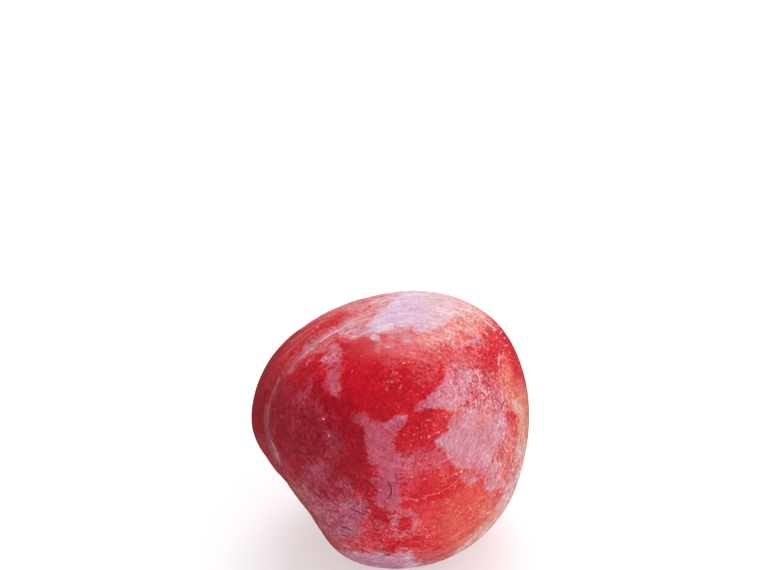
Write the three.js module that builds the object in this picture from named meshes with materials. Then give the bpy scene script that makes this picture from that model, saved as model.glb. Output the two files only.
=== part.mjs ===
// A ripe red dessert plum, whole and without its stalk, standing stem end down on
// the small flat that its own weight presses into it.
// Millimetres, +Z up, -Y towards the viewer. The origin is the middle of the
// footprint of its bounding box, on the surface it stands on.
import * as THREE from "three";
import { mergeVertices } from "three/addons/utils/BufferGeometryUtils.js";

// ---- driving dimensions (mm and degrees) ----
const MEAN_RADIUS = 32.0; // distance from the heart of the fruit to an average point of the skin
const HEART = [0.1986, -0.3017, 30.366]; // heart of the fruit above the origin
const MESH_DETAIL = 19; // each side of an icosahedron face is cut into this many steps, plus one

// The lopsided body is written in axes pitched back by this angle about X:
// p to the right, q up and back, w up and to the front.
const PITCH = 38;
// Swellings over the whole fruit, as [mm, shape over (p, q, w)].
const SWELLINGS = [
  [0.424, (p, q, w) => p * p - q * q],
  [0.734, (p, q, w) => 2 * p * q],
  [-0.719, (p, q, w) => p * w],
  [-0.875, (p, q, w) => q * w],
  [0.66, (p, q, w) => (3 * w * w - 1) / 2],
  [-0.709, (p, q, w) => p * (p * p - 3 * q * q)],
  [0.179, (p, q, w) => q * (3 * p * p - q * q)],
  [0.376, (p, q, w) => w * (p * p - q * q)],
  [0.575, (p, q, w) => 2 * p * q * w],
  [0.417, (p, q, w) => (p * (5 * w * w - 1)) / 2],
  [0.409, (p, q, w) => (q * (5 * w * w - 1)) / 2],
  [0.522, (p, q, w) => (w * (5 * w * w - 3)) / 2],
  [-0.375, (p, q, w) => p ** 4 - 6 * p * p * q * q + q ** 4],
  [-0.048, (p, q, w) => 4 * p * q * (p * p - q * q)],
  [-0.486, (p, q, w) => w * p * (p * p - 3 * q * q)],
  [1.085, (p, q, w) => w * q * (3 * p * p - q * q)],
  [0.501, (p, q, w) => ((7 * w * w - 1) * (p * p - q * q)) / 3],
  [-1.054, (p, q, w) => ((7 * w * w - 1) * 2 * p * q) / 3],
];

// The cheek beside the suture is flattened, and the lobe below it has a small shoulder.
// Each is [mm, degrees round w from p, degrees towards w, sharpness].
const FLAT_CHEEK = [-7.846, 217.27, 0.72, 7.836];
const SHOULDER = [1.158, 243.3, 7.68, 19.25];

// Stem end, and the square directions that carry the suture.
const STEM_DIR = new THREE.Vector3(-0.3319, -0.3572, -0.8731).normalize();
const SUTURE_NORMAL = new THREE.Vector3(0.37, -0.9007, 0.2278).normalize(); // to the larger, front lobe
const CAVITY_DEPTH = 6.0;
const CAVITY_SPREAD = 11; // degrees from the stem end
const SUTURE_DEPTH = 3.17; // near the stem end
const SUTURE_DEPTH_MID = 0.54; // round the side and over the top
const SUTURE_FRONT_WIDTH = 2.6; // half width of the groove's flank on the front lobe
const SUTURE_BACK_WIDTH = 3.14; // and on the back lobe
const SUTURE_DEEPEST = 35.8; // degrees from the stem end
const SUTURE_SPREAD = 25.4;
const SUTURE_SWERVE = [8.6, 60, 23.5]; // degrees towards the front lobe, where along it, and over what spread
const SUTURE_FADE = [135, 172]; // degrees from the stem end over which it dies out
const APEX_DIMPLE = 0.35;
const APEX_SPREAD = 5; // degrees

// ---- derived directions ----
const RAD = Math.PI / 180;
const P = new THREE.Vector3(1, 0, 0);
const Q = new THREE.Vector3(0, Math.sin(PITCH * RAD), Math.cos(PITCH * RAD));
const W = new THREE.Vector3(0, -Math.cos(PITCH * RAD), Math.sin(PITCH * RAD));
SUTURE_NORMAL.addScaledVector(STEM_DIR, -SUTURE_NORMAL.dot(STEM_DIR)).normalize();
const SUTURE_SIDE = new THREE.Vector3().crossVectors(STEM_DIR, SUTURE_NORMAL).normalize();
if (SUTURE_SIDE.x > 0) SUTURE_SIDE.negate(); // the suture runs up the left side

const bumpDirection = (round, lift) =>
  new THREE.Vector3()
    .addScaledVector(P, Math.cos(lift * RAD) * Math.cos(round * RAD))
    .addScaledVector(Q, Math.cos(lift * RAD) * Math.sin(round * RAD))
    .addScaledVector(W, Math.sin(lift * RAD));
const CHEEK_DIR = bumpDirection(FLAT_CHEEK[1], FLAT_CHEEK[2]);
const SHOULDER_DIR = bumpDirection(SHOULDER[1], SHOULDER[2]);

const smooth = (x, a, b) => {
  const t = Math.min(1, Math.max(0, (x - a) / (b - a)));
  return t * t * (3 - 2 * t);
};
const gauss = (x) => Math.exp(-x * x);

// Depth of the suture groove along direction u.
function sutureDepth(u) {
  const fromStem = Math.acos(THREE.MathUtils.clamp(u.dot(STEM_DIR), -1, 1)) / RAD;
  const swerve = SUTURE_SWERVE[0] * gauss((fromStem - SUTURE_SWERVE[1]) / SUTURE_SWERVE[2]);
  const across = (Math.asin(THREE.MathUtils.clamp(u.dot(SUTURE_NORMAL), -1, 1)) / RAD - swerve) * 0.54; // mm from the groove's line
  const along =
    SUTURE_DEPTH_MID +
    (SUTURE_DEPTH - SUTURE_DEPTH_MID) * gauss((fromStem - SUTURE_DEEPEST) / SUTURE_SPREAD);
  const section = gauss(across / (across > 0 ? SUTURE_FRONT_WIDTH : SUTURE_BACK_WIDTH));
  return along * section * (1 - smooth(fromStem, ...SUTURE_FADE)) * smooth(u.dot(SUTURE_SIDE), -0.05, 0.14);
}

// Distance from the heart of the fruit to the skin along direction u.
function skinRadius(u) {
  const p = u.dot(P), q = u.dot(Q), w = u.dot(W);
  const fromStem = Math.acos(THREE.MathUtils.clamp(u.dot(STEM_DIR), -1, 1)) / RAD;
  let r = MEAN_RADIUS;
  for (const [mm, shape] of SWELLINGS) r += mm * shape(p, q, w);
  r += FLAT_CHEEK[0] * Math.exp(FLAT_CHEEK[3] * (u.dot(CHEEK_DIR) - 1));
  r += SHOULDER[0] * Math.exp(SHOULDER[3] * (u.dot(SHOULDER_DIR) - 1));
  r -= CAVITY_DEPTH * gauss(fromStem / CAVITY_SPREAD);
  r -= APEX_DIMPLE * gauss((180 - fromStem) / APEX_SPREAD);
  return r - sutureDepth(u);
}

// ---- the fruit ----
// Directions come from a finely cut icosahedron; each one is pushed out to the skin,
// and whatever would sink below the surface is pressed flat on it.
function plumGeometry() {
  let g = new THREE.IcosahedronGeometry(1, MESH_DETAIL);
  g.deleteAttribute("normal");
  g.deleteAttribute("uv");
  g = mergeVertices(g, 1e-5);
  const at = g.getAttribute("position");
  const u = new THREE.Vector3();
  for (let i = 0; i < at.count; i++) {
    u.fromBufferAttribute(at, i).normalize();
    const r = skinRadius(u);
    at.setXYZ(i, HEART[0] + u.x * r, HEART[1] + u.y * r, Math.max(0, HEART[2] + u.z * r));
  }
  at.needsUpdate = true;
  g.computeVertexNormals();
  return g;
}

const plum = new THREE.Mesh(
  plumGeometry(),
  new THREE.MeshStandardMaterial({ color: 0xb9354a, roughness: 0.42, metalness: 0 }),
);
plum.name = "plum";

const group = new THREE.Group();
group.add(plum);

export default group;
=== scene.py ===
import math
import bpy
import numpy as np
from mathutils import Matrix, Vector


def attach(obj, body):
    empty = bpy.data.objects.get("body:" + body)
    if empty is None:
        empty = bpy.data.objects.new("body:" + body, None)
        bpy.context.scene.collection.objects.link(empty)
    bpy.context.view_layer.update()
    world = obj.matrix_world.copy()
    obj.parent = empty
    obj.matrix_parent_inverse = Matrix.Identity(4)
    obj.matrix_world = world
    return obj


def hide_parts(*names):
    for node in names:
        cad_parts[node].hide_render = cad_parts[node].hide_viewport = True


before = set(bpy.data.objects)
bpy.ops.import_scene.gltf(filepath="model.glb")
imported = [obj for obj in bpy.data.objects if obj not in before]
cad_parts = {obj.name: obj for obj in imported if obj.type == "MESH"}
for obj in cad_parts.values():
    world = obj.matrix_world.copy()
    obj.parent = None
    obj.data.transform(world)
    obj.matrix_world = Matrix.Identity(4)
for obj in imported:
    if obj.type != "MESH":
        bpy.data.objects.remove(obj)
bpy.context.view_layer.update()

# ------------------------------------------------------------------ the fruit's form
# The same closed form as the CAD solid: a distance from the heart of the fruit to its skin
# along every direction. Millimetres here, metres in the mesh.
MEAN_RADIUS = 32.0
HEART = np.array([0.1986, -0.3017, 30.366])
PITCH = math.radians(38)
P = np.array([1.0, 0, 0])
Q = np.array([0, math.sin(PITCH), math.cos(PITCH)])
W = np.array([0, -math.cos(PITCH), math.sin(PITCH)])


def unit(v):
    v = np.asarray(v, float)
    return v / np.linalg.norm(v)


def bump_direction(round_, lift):
    a, b = math.radians(round_), math.radians(lift)
    return math.cos(b) * (math.cos(a) * P + math.sin(a) * Q) + math.sin(b) * W


CHEEK = (-7.846, bump_direction(217.27, 0.72), 7.836)
SHOULDER = (1.158, bump_direction(243.3, 7.68), 19.25)
STEM = unit([-0.3319, -0.3572, -0.8731])
NORMAL = unit([0.37, -0.9007, 0.2278])
NORMAL = unit(NORMAL - NORMAL.dot(STEM) * STEM)
SIDE = unit(np.cross(STEM, NORMAL))
if SIDE[0] > 0:
    SIDE = -SIDE


def smooth(x, a, b):
    t = np.clip((x - a) / (b - a), 0, 1)
    return t * t * (3 - 2 * t)


def gauss(x):
    return np.exp(-x * x)


def swellings(u):
    p, q, w = u @ P, u @ Q, u @ W
    w2 = w * w
    return (
        0.424 * (p * p - q * q) + 0.734 * 2 * p * q - 0.719 * p * w - 0.875 * q * w
        + 0.66 * (3 * w2 - 1) / 2
        - 0.709 * p * (p * p - 3 * q * q) + 0.179 * q * (3 * p * p - q * q)
        + 0.376 * w * (p * p - q * q) + 0.575 * 2 * p * q * w
        + 0.417 * p * (5 * w2 - 1) / 2 + 0.409 * q * (5 * w2 - 1) / 2 + 0.522 * w * (5 * w2 - 3) / 2
        - 0.375 * (p**4 - 6 * p * p * q * q + q**4) - 0.048 * 4 * p * q * (p * p - q * q)
        - 0.486 * w * p * (p * p - 3 * q * q) + 1.085 * w * q * (3 * p * p - q * q)
        + 0.501 * (7 * w2 - 1) * (p * p - q * q) / 3 - 1.054 * (7 * w2 - 1) * 2 * p * q / 3
    )


def from_stem_deg(u):
    return np.degrees(np.arccos(np.clip(u @ STEM, -1, 1)))


def across_mm(u):
    """Signed distance from the suture's line, + on the front lobe."""
    swerve = 8.6 * gauss((from_stem_deg(u) - 60) / 23.5)
    return (np.degrees(np.arcsin(np.clip(u @ NORMAL, -1, 1))) - swerve) * 0.54


def suture_reach(u):
    """1 along the suture's half of its great circle, fading out before the far end."""
    return (1 - smooth(from_stem_deg(u), 135, 172)) * smooth(u @ SIDE, -0.05, 0.14)


def skin_radius(u):
    r = MEAN_RADIUS + swellings(u)
    for mm, d, sharp in (CHEEK, SHOULDER):
        r = r + mm * np.exp(sharp * (u @ d - 1))
    from_stem = from_stem_deg(u)
    r = r - 6.0 * gauss(from_stem / 11) - 0.35 * gauss((180 - from_stem) / 5)
    mm = across_mm(u)
    along = 0.54 + (3.17 - 0.54) * gauss((from_stem - 35.8) / 25.4)
    return r - along * np.where(mm > 0, gauss(mm / 2.6), gauss(mm / 3.14)) * suture_reach(u)


# A smooth random field over directions: a sum of plane waves, about -1 to 1, the same each run.
def waves(u, cycles, seed, count=48):
    rng = np.random.RandomState(seed)
    k = rng.normal(size=(count, 3))
    k *= (cycles * 2 * math.pi * (0.6 + 0.8 * rng.rand(count)) / np.linalg.norm(k, axis=1))[:, None]
    phase = rng.rand(count) * 2 * math.pi
    out = np.zeros(len(u))
    for kk, ph in zip(k, phase):
        out += np.cos(u @ kk + ph)
    return out / math.sqrt(count / 2) / 1.6


# An equal-area octahedral grid: the square's middle is the top of the fruit, its corners the
# bottom, and the square is also the piece's UV map.
N = 300  # cells along a side


def octa_directions(s, t):
    """Equal-area map from the square [-1, 1]^2 to the sphere."""
    a, b = np.abs(s), np.abs(t)
    d = 1 - (a + b)
    r = 1 - np.abs(d)
    phi = np.where(r > 1e-12, ((b - a) / np.maximum(r, 1e-12) + 1) * math.pi / 4, 0.0)
    z = np.sign(d) * (1 - r * r)
    f = r * np.sqrt(np.maximum(2 - r * r, 0))
    x = np.where(s < 0, -1.0, 1.0) * np.cos(phi) * f
    y = np.where(t < 0, -1.0, 1.0) * np.sin(phi) * f
    return np.stack([x, y, z], -1)


def plum_grid():
    g = np.linspace(-1, 1, N + 1)
    s, t = np.meshgrid(g, g, indexing="ij")
    d = octa_directions(s, t)
    # one vertex for each place on the fruit: the square's border folds onto itself
    index = np.arange((N + 1) ** 2).reshape(N + 1, N + 1)
    for e in (0, N):
        for k in range(N + 1):
            if k > N - k:
                index[e, k] = index[e, N - k]
                index[k, e] = index[N - k, e]
    index[0, N] = index[N, 0] = index[N, N] = index[0, 0]
    used, compact = np.unique(index, return_inverse=True)
    compact = compact.reshape(index.shape)
    u = d.reshape(-1, 3)[used]
    u /= np.linalg.norm(u, axis=1, keepdims=True)
    # shifted so that the cells are a little finer on the side with the traced markings
    u += 0.2 * W
    u /= np.linalg.norm(u, axis=1, keepdims=True)
    corners = lambda a: np.stack([a[:-1, :-1], a[1:, :-1], a[1:, 1:], a[:-1, 1:]], 2).reshape(N * N, 4, -1)
    uv = np.stack([(s + 1) / 2, (t + 1) / 2], -1) * 0.994 + 0.003
    return u, corners(compact[..., None])[..., 0], corners(uv)


u, quads, quad_uv = plum_grid()
r = skin_radius(u)
# slight unevenness of a grown surface, left out near the flat it stands on
low = smooth(-u[:, 2], 0.82, 0.95)
r += (0.10 * waves(u, 1.7, 3) + 0.035 * waves(u, 5.0, 4) + 0.012 * waves(u, 12.0, 5)) * (1 - low)
# slight hollows along the low left side, where the suture turns under
round_deg = np.degrees(np.arctan2(u @ Q, u @ P))
hollow = 0.42 * gauss((round_deg + 124) / 11) + 0.25 * gauss((round_deg + 134) / 5) + 0.28 * gauss((round_deg + 166) / 6)
r -= hollow * gauss((u @ W - 0.05) / 0.4)
p = HEART + u * r[:, None]
# flesh pressed flat bulges softly round its edge instead of ending in a crease
z = p[:, 2]
p[:, 2] = np.where(z < 0.5, np.where(z > -0.5, (z + 0.5) ** 2 / 2, 0), z)

faces = []
loops_uv = []
for f, q in zip(quads.tolist(), quad_uv.tolist()):
    kept, kept_uv = [], []
    for k, v in enumerate(f):
        if v not in kept:
            kept.append(v)
            kept_uv.append(q[k])
    faces.append(kept)
    loops_uv.extend(kept_uv)

me = bpy.data.meshes.new("plum_skin")
me.from_pydata((p / 1000).tolist(), [], faces)
uv_layer = me.uv_layers.new(name="OFBake")
uv_layer.data.foreach_set("uv", np.array(loops_uv, np.float32).ravel())
me.polygons.foreach_set("use_smooth", [True] * len(me.polygons))
me.update()
normal = np.zeros(len(me.vertices) * 3, np.float32)
me.vertices.foreach_get("normal", normal)
normal = normal.reshape(-1, 3).astype(float)
plum = bpy.data.objects.new("plum_fruit", me)
bpy.context.collection.objects.link(plum)
print("verts", len(me.vertices), "faces", len(me.polygons), "valid", not me.validate(verbose=True))

# ------------------------------------------------------------------ camera
MM_PER_PX = 62.0 / 276.6
HEART_PX = (391.76, 428.98)  # where the heart of the fruit falls in the 760 x 570 frame
D = 0.75
off_x, off_y = (HEART_PX[0] - 380) * MM_PER_PX / 1000, -(HEART_PX[1] - 285) * MM_PER_PX / 1000
axis_el = PITCH - math.atan2(-off_y, D)
c_axis = np.array([0, -math.cos(axis_el), math.sin(axis_el)])
c_up = np.array([0, math.sin(axis_el), math.cos(axis_el)])
cam_data = bpy.data.cameras.new("camera")
cam_data.sensor_width = 36
cam_data.lens = 36 / 760 / (MM_PER_PX / 1000) * D
cam_data.clip_start, cam_data.clip_end = 0.05, 50
cam = bpy.data.objects.new("camera", cam_data)
bpy.context.collection.objects.link(cam)
cam_at = HEART / 1000 + c_axis * D - P * off_x - c_up * off_y
cam.location = Vector(cam_at)
cam.rotation_euler = Vector(c_axis).to_track_quat("Z", "Y").to_euler()
bpy.context.scene.camera = cam

# Where each vertex falls in that frame, and how squarely it faces the view.
rel = p / 1000 - cam_at
depth = -(rel @ c_axis)
px = 380 + (rel @ P) / depth * D / (MM_PER_PX / 1000)
py = 285 - (rel @ c_up) / depth * D / (MM_PER_PX / 1000)
facing = -np.sum(normal * rel, 1) / np.linalg.norm(rel, axis=1)
seen = smooth(facing, -0.14, 0.07)


# ------------------------------------------------------------------ markings drawn on the skin
# All of them are drawn in the 760 x 570 frame.
def near(pts, reach):
    """Which vertices lie within reach px of the points' box."""
    (x0, y0), (x1, y1) = pts.min(0) - reach, pts.max(0) + reach
    return np.flatnonzero((px > x0) & (px < x1) & (py > y0) & (py < y1) & (facing > -0.10))


def rounded(pts):
    """The closed outline with its corners cut once."""
    pts = np.asarray(pts, float)
    after = np.roll(pts, -1, 0)
    return np.stack([0.8 * pts + 0.2 * after, 0.2 * pts + 0.8 * after], 1).reshape(-1, 2)


def polygon_distance(pts, reach=16.0):
    """Signed distance in px to a closed outline, + inside, no lower than -reach."""
    pts = rounded(pts)
    out = np.full(len(px), -reach)
    some = near(pts, reach)
    x, y = px[some], py[some]
    best = np.full(len(some), 1e9)
    inside = np.zeros(len(some), bool)
    for (x0, y0), (x1, y1) in zip(pts, np.roll(pts, -1, 0)):
        dx, dy = x1 - x0, y1 - y0
        t = np.clip(((x - x0) * dx + (y - y0) * dy) / (dx * dx + dy * dy), 0, 1)
        best = np.minimum(best, np.hypot(x - x0 - t * dx, y - y0 - t * dy))
        if dy:
            inside ^= ((y0 > y) != (y1 > y)) & (x < x0 + (y - y0) * dx / dy)
    out[some] = np.maximum(np.where(inside, best, -best), -reach)
    return out


def soft_shape(pts, soft):
    """1 inside an outline, falling to 0 over soft px on either side of it."""
    return smooth(polygon_distance(pts, max(soft, 1) + 1), -soft, soft)


def ovals(spec, default):
    """Values that blend between soft ovals: (x, y, half width, half height, value)."""
    total = np.full(len(px), 0.03)
    out = np.full(len(px), 0.03 * default)
    for x, y, rx, ry, value in spec:
        w = np.exp(-(((px - x) / rx) ** 2 + ((py - y) / ry) ** 2) ** 1.25)
        total += w
        out += w * value
    return out / total


# Bloom: the pale waxy film, where handling has not rubbed it away. Over the top and along the crest of the suture the
# film is also a painted highlight.
# (outline, amount, edge softness px, fray px, tint, pits 0-1, strands 0-1)
# tint: 0 mauve, 0.33 lilac white, 0.66 pink, 1 cream
BLOOM_AND_HIGHLIGHTS = [
    # film over the top, thick and pale: partly bloom, partly a painted highlight from the light above and behind
    ([(384, 306), (389, 300), (395, 293), (404, 288), (416, 285), (426, 288), (431, 300), (434, 312), (434, 322),
      (431, 331), (421, 334), (415, 332), (411, 329), (404, 329.5), (398, 331), (392, 332.5), (387, 334), (380, 333),
      (372, 332.5), (366, 332), (361, 330), (364, 325), (369, 320), (373, 316), (378, 311)],
     0.89, 3.0, 1.8, 0.31, 0.05, 0.22),
    ([(408, 286), (424, 283), (440, 285), (454, 291), (462, 300), (461, 310), (454, 318), (448, 323), (441, 328),
      (435, 331), (428, 333.5), (424, 326), (420, 312), (414, 300)], 0.83, 3.8, 1.4, 0.60, 0.06, 0.2),
    ([(370, 303), (376, 298), (384, 294), (392, 289), (402, 287), (402, 298), (392, 303), (380, 306)],
     0.74, 2.8, 1.8, 0.60, 0.12, 0.6),
    ([(450, 288), (462, 295), (472, 301), (478, 308), (474, 316), (464, 319), (454, 320), (452, 306)],
     0.80, 2.8, 1.8, 0.72, 0.35, 0.4),
    # painted reflection: a bright cream streak just inside the upper right edge
    ([(462, 300), (472, 304), (482, 310), (488, 317), (480, 318), (470, 314), (462, 308)],
     0.72, 2.5, 1.8, 0.85, 0.45, 0.45),
    # brushed film between the top and the crest of the suture
    ([(338, 327), (343, 320), (351, 315), (361, 312), (372, 310), (380, 309), (374, 316), (367, 323), (362, 329),
      (352, 331), (344, 332)], 0.55, 3.2, 2.0, 0.50, 0.1, 0.55),
    # the crest of the suture: partly bloom, partly a painted highlight along the crest
    ([(340, 325), (333, 329), (325, 333), (317, 338), (310, 343), (303, 350), (297, 358), (291, 367), (288, 374),
      (293, 370), (300, 361), (308, 354), (316, 348), (325, 342), (334, 336), (341, 332)],
     0.37, 2.6, 2.2, 0.16, 0.2, 0.70),
    ([(336, 332), (345, 327.5), (356, 326), (366, 328), (372, 333), (366, 335), (356, 335), (347, 335), (340, 336)],
     0.60, 1.4, 1.0, 0.18, 0.1, 0.60),
    ([(348, 336), (354, 334), (362, 334), (361, 337), (353, 339), (348, 338)], 0.55, 0.9, 0.8, 0.95, 0.1, 0.1),
    ([(318, 349), (326, 343), (334, 340), (338, 342), (330, 347), (322, 352), (313, 358), (306, 364), (302, 366),
      (309, 358)], 0.28, 2.0, 2.0, 0.33, 0.3, 0.8),
    # right shoulder
    ([(456, 302), (466, 304), (476, 311), (484, 318), (494, 326), (492, 328), (484, 324), (477, 319), (478, 326),
      (482, 333), (480, 341), (473, 337), (466, 334), (460, 327), (455, 320), (461, 312)],
     0.50, 4.6, 2.4, 0.86, 0.75, 0.2),
    ([(418, 336), (428, 333), (438, 331), (446, 327), (452, 322), (460, 326), (462, 336), (452, 343), (440, 346),
      (428, 347), (419, 344)], 0.41, 3.6, 2.6, 0.68, 0.45, 0.2),
    ([(446, 345), (449, 341), (456, 339), (463, 341), (470, 339), (478, 336), (483, 341), (479, 345), (470, 345), (463, 349),
      (455, 350), (449, 350)], 0.33, 2.0, 1.8, 0.40, 0.4, 0.1),
    ([(464, 330), (468, 328), (473, 330), (471, 334), (466, 334)], 0.48, 1.2, 1.0, 0.03, 0.2, 0.0),
    ([(469, 338), (477, 335), (483, 338), (481, 344), (474, 346), (469, 343)], 0.42, 2.0, 1.6, 0.40, 0.3, 0.1),
    # small marks under the top film
    ([(386, 334), (392, 331.5), (399, 329.5), (406, 331), (411, 334), (406, 337), (400, 339), (393, 338), (387, 339)],
     0.27, 1.8, 1.4, 0.36, 0.3, 0.1),
    ([(370.5, 337.5), (374, 335), (378, 335), (381, 338), (379, 341), (374, 341)], 0.66, 1.0, 1.3, 0.28, 0.1, 0.1),
    ([(401, 339), (404, 335), (410, 334), (414, 337), (413, 342), (408, 345), (402, 343)], 0.40, 1.8, 1.2, 0.33, 0.1, 0.0),
    ([(384, 346), (389, 342), (395, 342), (399, 345), (396, 348), (389, 349.5)], 0.34, 1.6, 1.8, 0.41, 0.3, 0.3),
    ([(377, 340.5), (380, 341), (383, 345), (382, 349), (378, 351.5), (375, 350), (377, 345)], 0.30, 1.4, 2.0, 0.41, 0.3, 0.2),
    # two-lobed patch on the left
    ([(321, 359), (324, 352), (329, 347), (335, 345), (338, 350), (338, 356), (332, 360), (325, 362)],
     0.39, 2.4, 2.4, 0.16, 0.6, 0.2),
    ([(322, 363), (330, 359), (338, 358), (343, 361), (345, 367), (340, 370), (333, 369), (326, 367)],
     0.16, 2.6, 2.6, 0.03, 0.7, 0.2),
    ([(324, 377), (327, 372), (332, 367), (337, 369), (338.5, 376), (337, 383), (339.5, 388), (337, 392), (333, 396),
      (330, 390), (327, 384)], 0.26, 2.4, 1.6, 0.06, 0.1, 0.1),
    ([(307, 384), (311, 386), (308, 391), (304, 399), (300, 399), (303, 391)], 0.24, 1.8, 1.6, 0.11, 0.3, 0.3),
    ([(308, 375), (311, 376), (312, 382), (309, 384), (306, 381)], 0.08, 1.8, 1.4, 0.11, 0.3, 0.3),
    ([(298, 392), (302, 390), (301, 396), (297, 397)], 0.08, 1.6, 1.2, 0.11, 0.3, 0.3),
    ([(325, 432), (331, 429), (338, 431), (341, 440), (340, 452), (335, 461), (329, 458), (325, 446)], 0.05, 3.0, 2.4, 0.03, 0.5, 0.2),
    ([(313, 400), (318, 399), (321, 405), (320, 413), (315, 414), (312, 407)], 0.055, 2.6, 2.0, 0.03, 0.3, 0.4),
    ([(297, 405), (302, 402), (306, 407), (304, 414), (298, 413)], 0.045, 2.4, 1.8, 0.03, 0.3, 0.4),
    # the forked band down the middle
    ([(379, 425), (386, 421.5), (393, 417.5), (400, 415), (408, 416.5), (404, 421), (398, 426), (393, 431), (388, 437),
      (382, 436), (378, 430)], 0.30, 1.4, 1.0, 0.03, 0.10, 0.35),
    ([(364, 430), (366, 423), (372, 421), (380, 424), (387, 423), (394, 422), (404, 421.5), (402, 428), (397.5, 436), (394, 443), (394, 449), (395.5, 454), (398, 457), (402, 462), (402, 470), (400, 477),
      (399, 484), (402, 492), (401, 500), (400, 508), (396, 513), (389, 512), (382, 510), (376, 506), (374, 500),
      (374, 494), (378, 489), (375.5, 484), (372, 482), (372, 478), (378, 477), (375, 472), (372, 466), (371, 456),
      (369, 446), (367, 438)], 0.205, 1.9, 2.1, 0.03, 0.12, 0.15),
    ([(352, 419), (357, 415), (363, 413), (369, 416), (374, 421), (374, 428), (366, 428), (360, 425)],
     0.12, 3.0, 2.5, 0.05, 0.4, 0.2),
    # pointed patch at the right of the middle
    ([(412, 410.5), (419, 405), (426, 399.5), (432, 394), (437, 389), (441, 386), (443, 381), (445.5, 376),
      (449, 371), (456, 371), (464, 373), (469, 378), (470, 385), (468, 391), (469, 398), (465, 403), (458, 408),
      (450, 410), (443, 409.5), (438, 409), (432, 407), (424, 407.5), (418, 409.5)], 0.40, 1.7, 1.0, 0.27, 0.45, 0.1),
    # the big pale patch and its ragged lower end
    ([(434, 441), (440, 437), (444, 434), (448, 431.5), (449, 426), (450, 420), (455, 415), (463, 410), (472, 408),
      (482, 411), (490, 413), (500, 412), (505, 416), (507, 424), (506, 432), (503, 438), (499, 442), (497, 448),
      (494, 454), (492, 461), (489, 467), (484, 471), (478, 471), (472, 470.5), (465, 470), (458, 469), (452, 465),
      (449, 458), (445, 452), (440, 446)], 0.45, 2.0, 1.1, 0.34, 0.18, 0.12),
    ([(474, 468), (484, 467), (491, 460), (496, 453), (500, 458), (500, 467), (503, 475), (500, 481), (491, 480),
      (484, 477), (476, 475)], 0.33, 2.4, 1.8, 0.45, 0.4, 0.3),
    ([(463, 474), (469, 472), (476, 473), (480, 478), (475, 484), (467, 485), (462, 480)],
     0.30, 2.2, 1.6, 0.30, 0.2, 0.1),
    ([(485, 483), (490, 478), (496, 475), (502, 478), (502, 484), (497, 490), (490, 493), (485, 489)],
     0.46, 1.8, 1.4, 0.42, 0.15, 0.2),
    # edge of the right side
    ([(512, 402), (515.5, 400), (519.5, 403), (520, 412), (516.5, 414), (513.5, 409)], 0.50, 1.4, 1.2, 0.62, 0.2, 0.0),
    ([(513, 438), (517, 437), (520, 444), (519, 452), (516, 452), (514, 446)], 0.48, 2.0, 2.0, 0.50, 0.6, 0.2),
    ([(523, 464), (517, 473), (511, 483), (506, 491), (501, 499), (496, 507), (503, 509), (511, 501), (518, 490),
      (524, 478)], 0.66, 2.8, 1.8, 0.60, 0.15, 0.4),
    # lower left
    ([(309, 468), (317, 462), (328, 462), (331, 470), (327, 481), (316, 484), (309, 478)], 0.085, 4.0, 2.5, 0.03, 0.3, 0.1),
    ([(331, 482), (340, 480), (349, 485), (352, 491), (345, 492), (336, 489)], 0.12, 2.8, 2.5, 0.03, 0.4, 0.2),
    ([(338, 510), (344, 503), (354, 501), (364, 503), (368, 509), (364, 516), (354, 519), (344, 519)],
     0.13, 2.6, 2.4, 0.03, 0.3, 0.3),
    ([(334, 531), (344, 527), (356, 528), (367, 530), (366, 536), (358, 540), (348, 539), (338, 536)],
     0.26, 3.0, 2.2, 0.16, 0.4, 0.3),
    # ring-shaped mark near the bottom
    ([(391, 517), (393.5, 514), (397, 513), (400.5, 516), (399, 520), (397, 525), (398, 530), (394, 532), (391.5, 528),
      (390.5, 522)], 0.26, 1.8, 1.2, 0.18, 0.3, 0.1),
    ([(396, 513), (401, 510), (408, 509.5), (413, 512), (415, 517), (410, 516.5), (404, 515.5), (399, 516)],
     0.17, 1.6, 1.0, 0.41, 0.4, 0.1),
    ([(411, 514), (416, 514), (419, 520), (418.5, 526), (414, 529), (410.5, 527), (412, 520)],
     0.17, 1.7, 1.1, 0.03, 0.2, 0.1),
    ([(394, 531), (400, 532), (408, 531), (414, 529), (415, 533), (408, 536.5), (398, 537), (393, 535)],
     0.21, 1.4, 1.1, 0.36, 0.4, 0.1),
    # band along the bottom
    ([(330, 549), (340, 552), (352, 551.5), (366, 551), (380, 552.5), (391, 553.5), (400, 551), (405, 550), (411, 551),
      (412, 558), (415, 566), (408, 577), (385, 579), (355, 574), (332, 560)], 0.50, 2.0, 1.9, 0.16, 0.1, 0.3),
]
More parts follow.
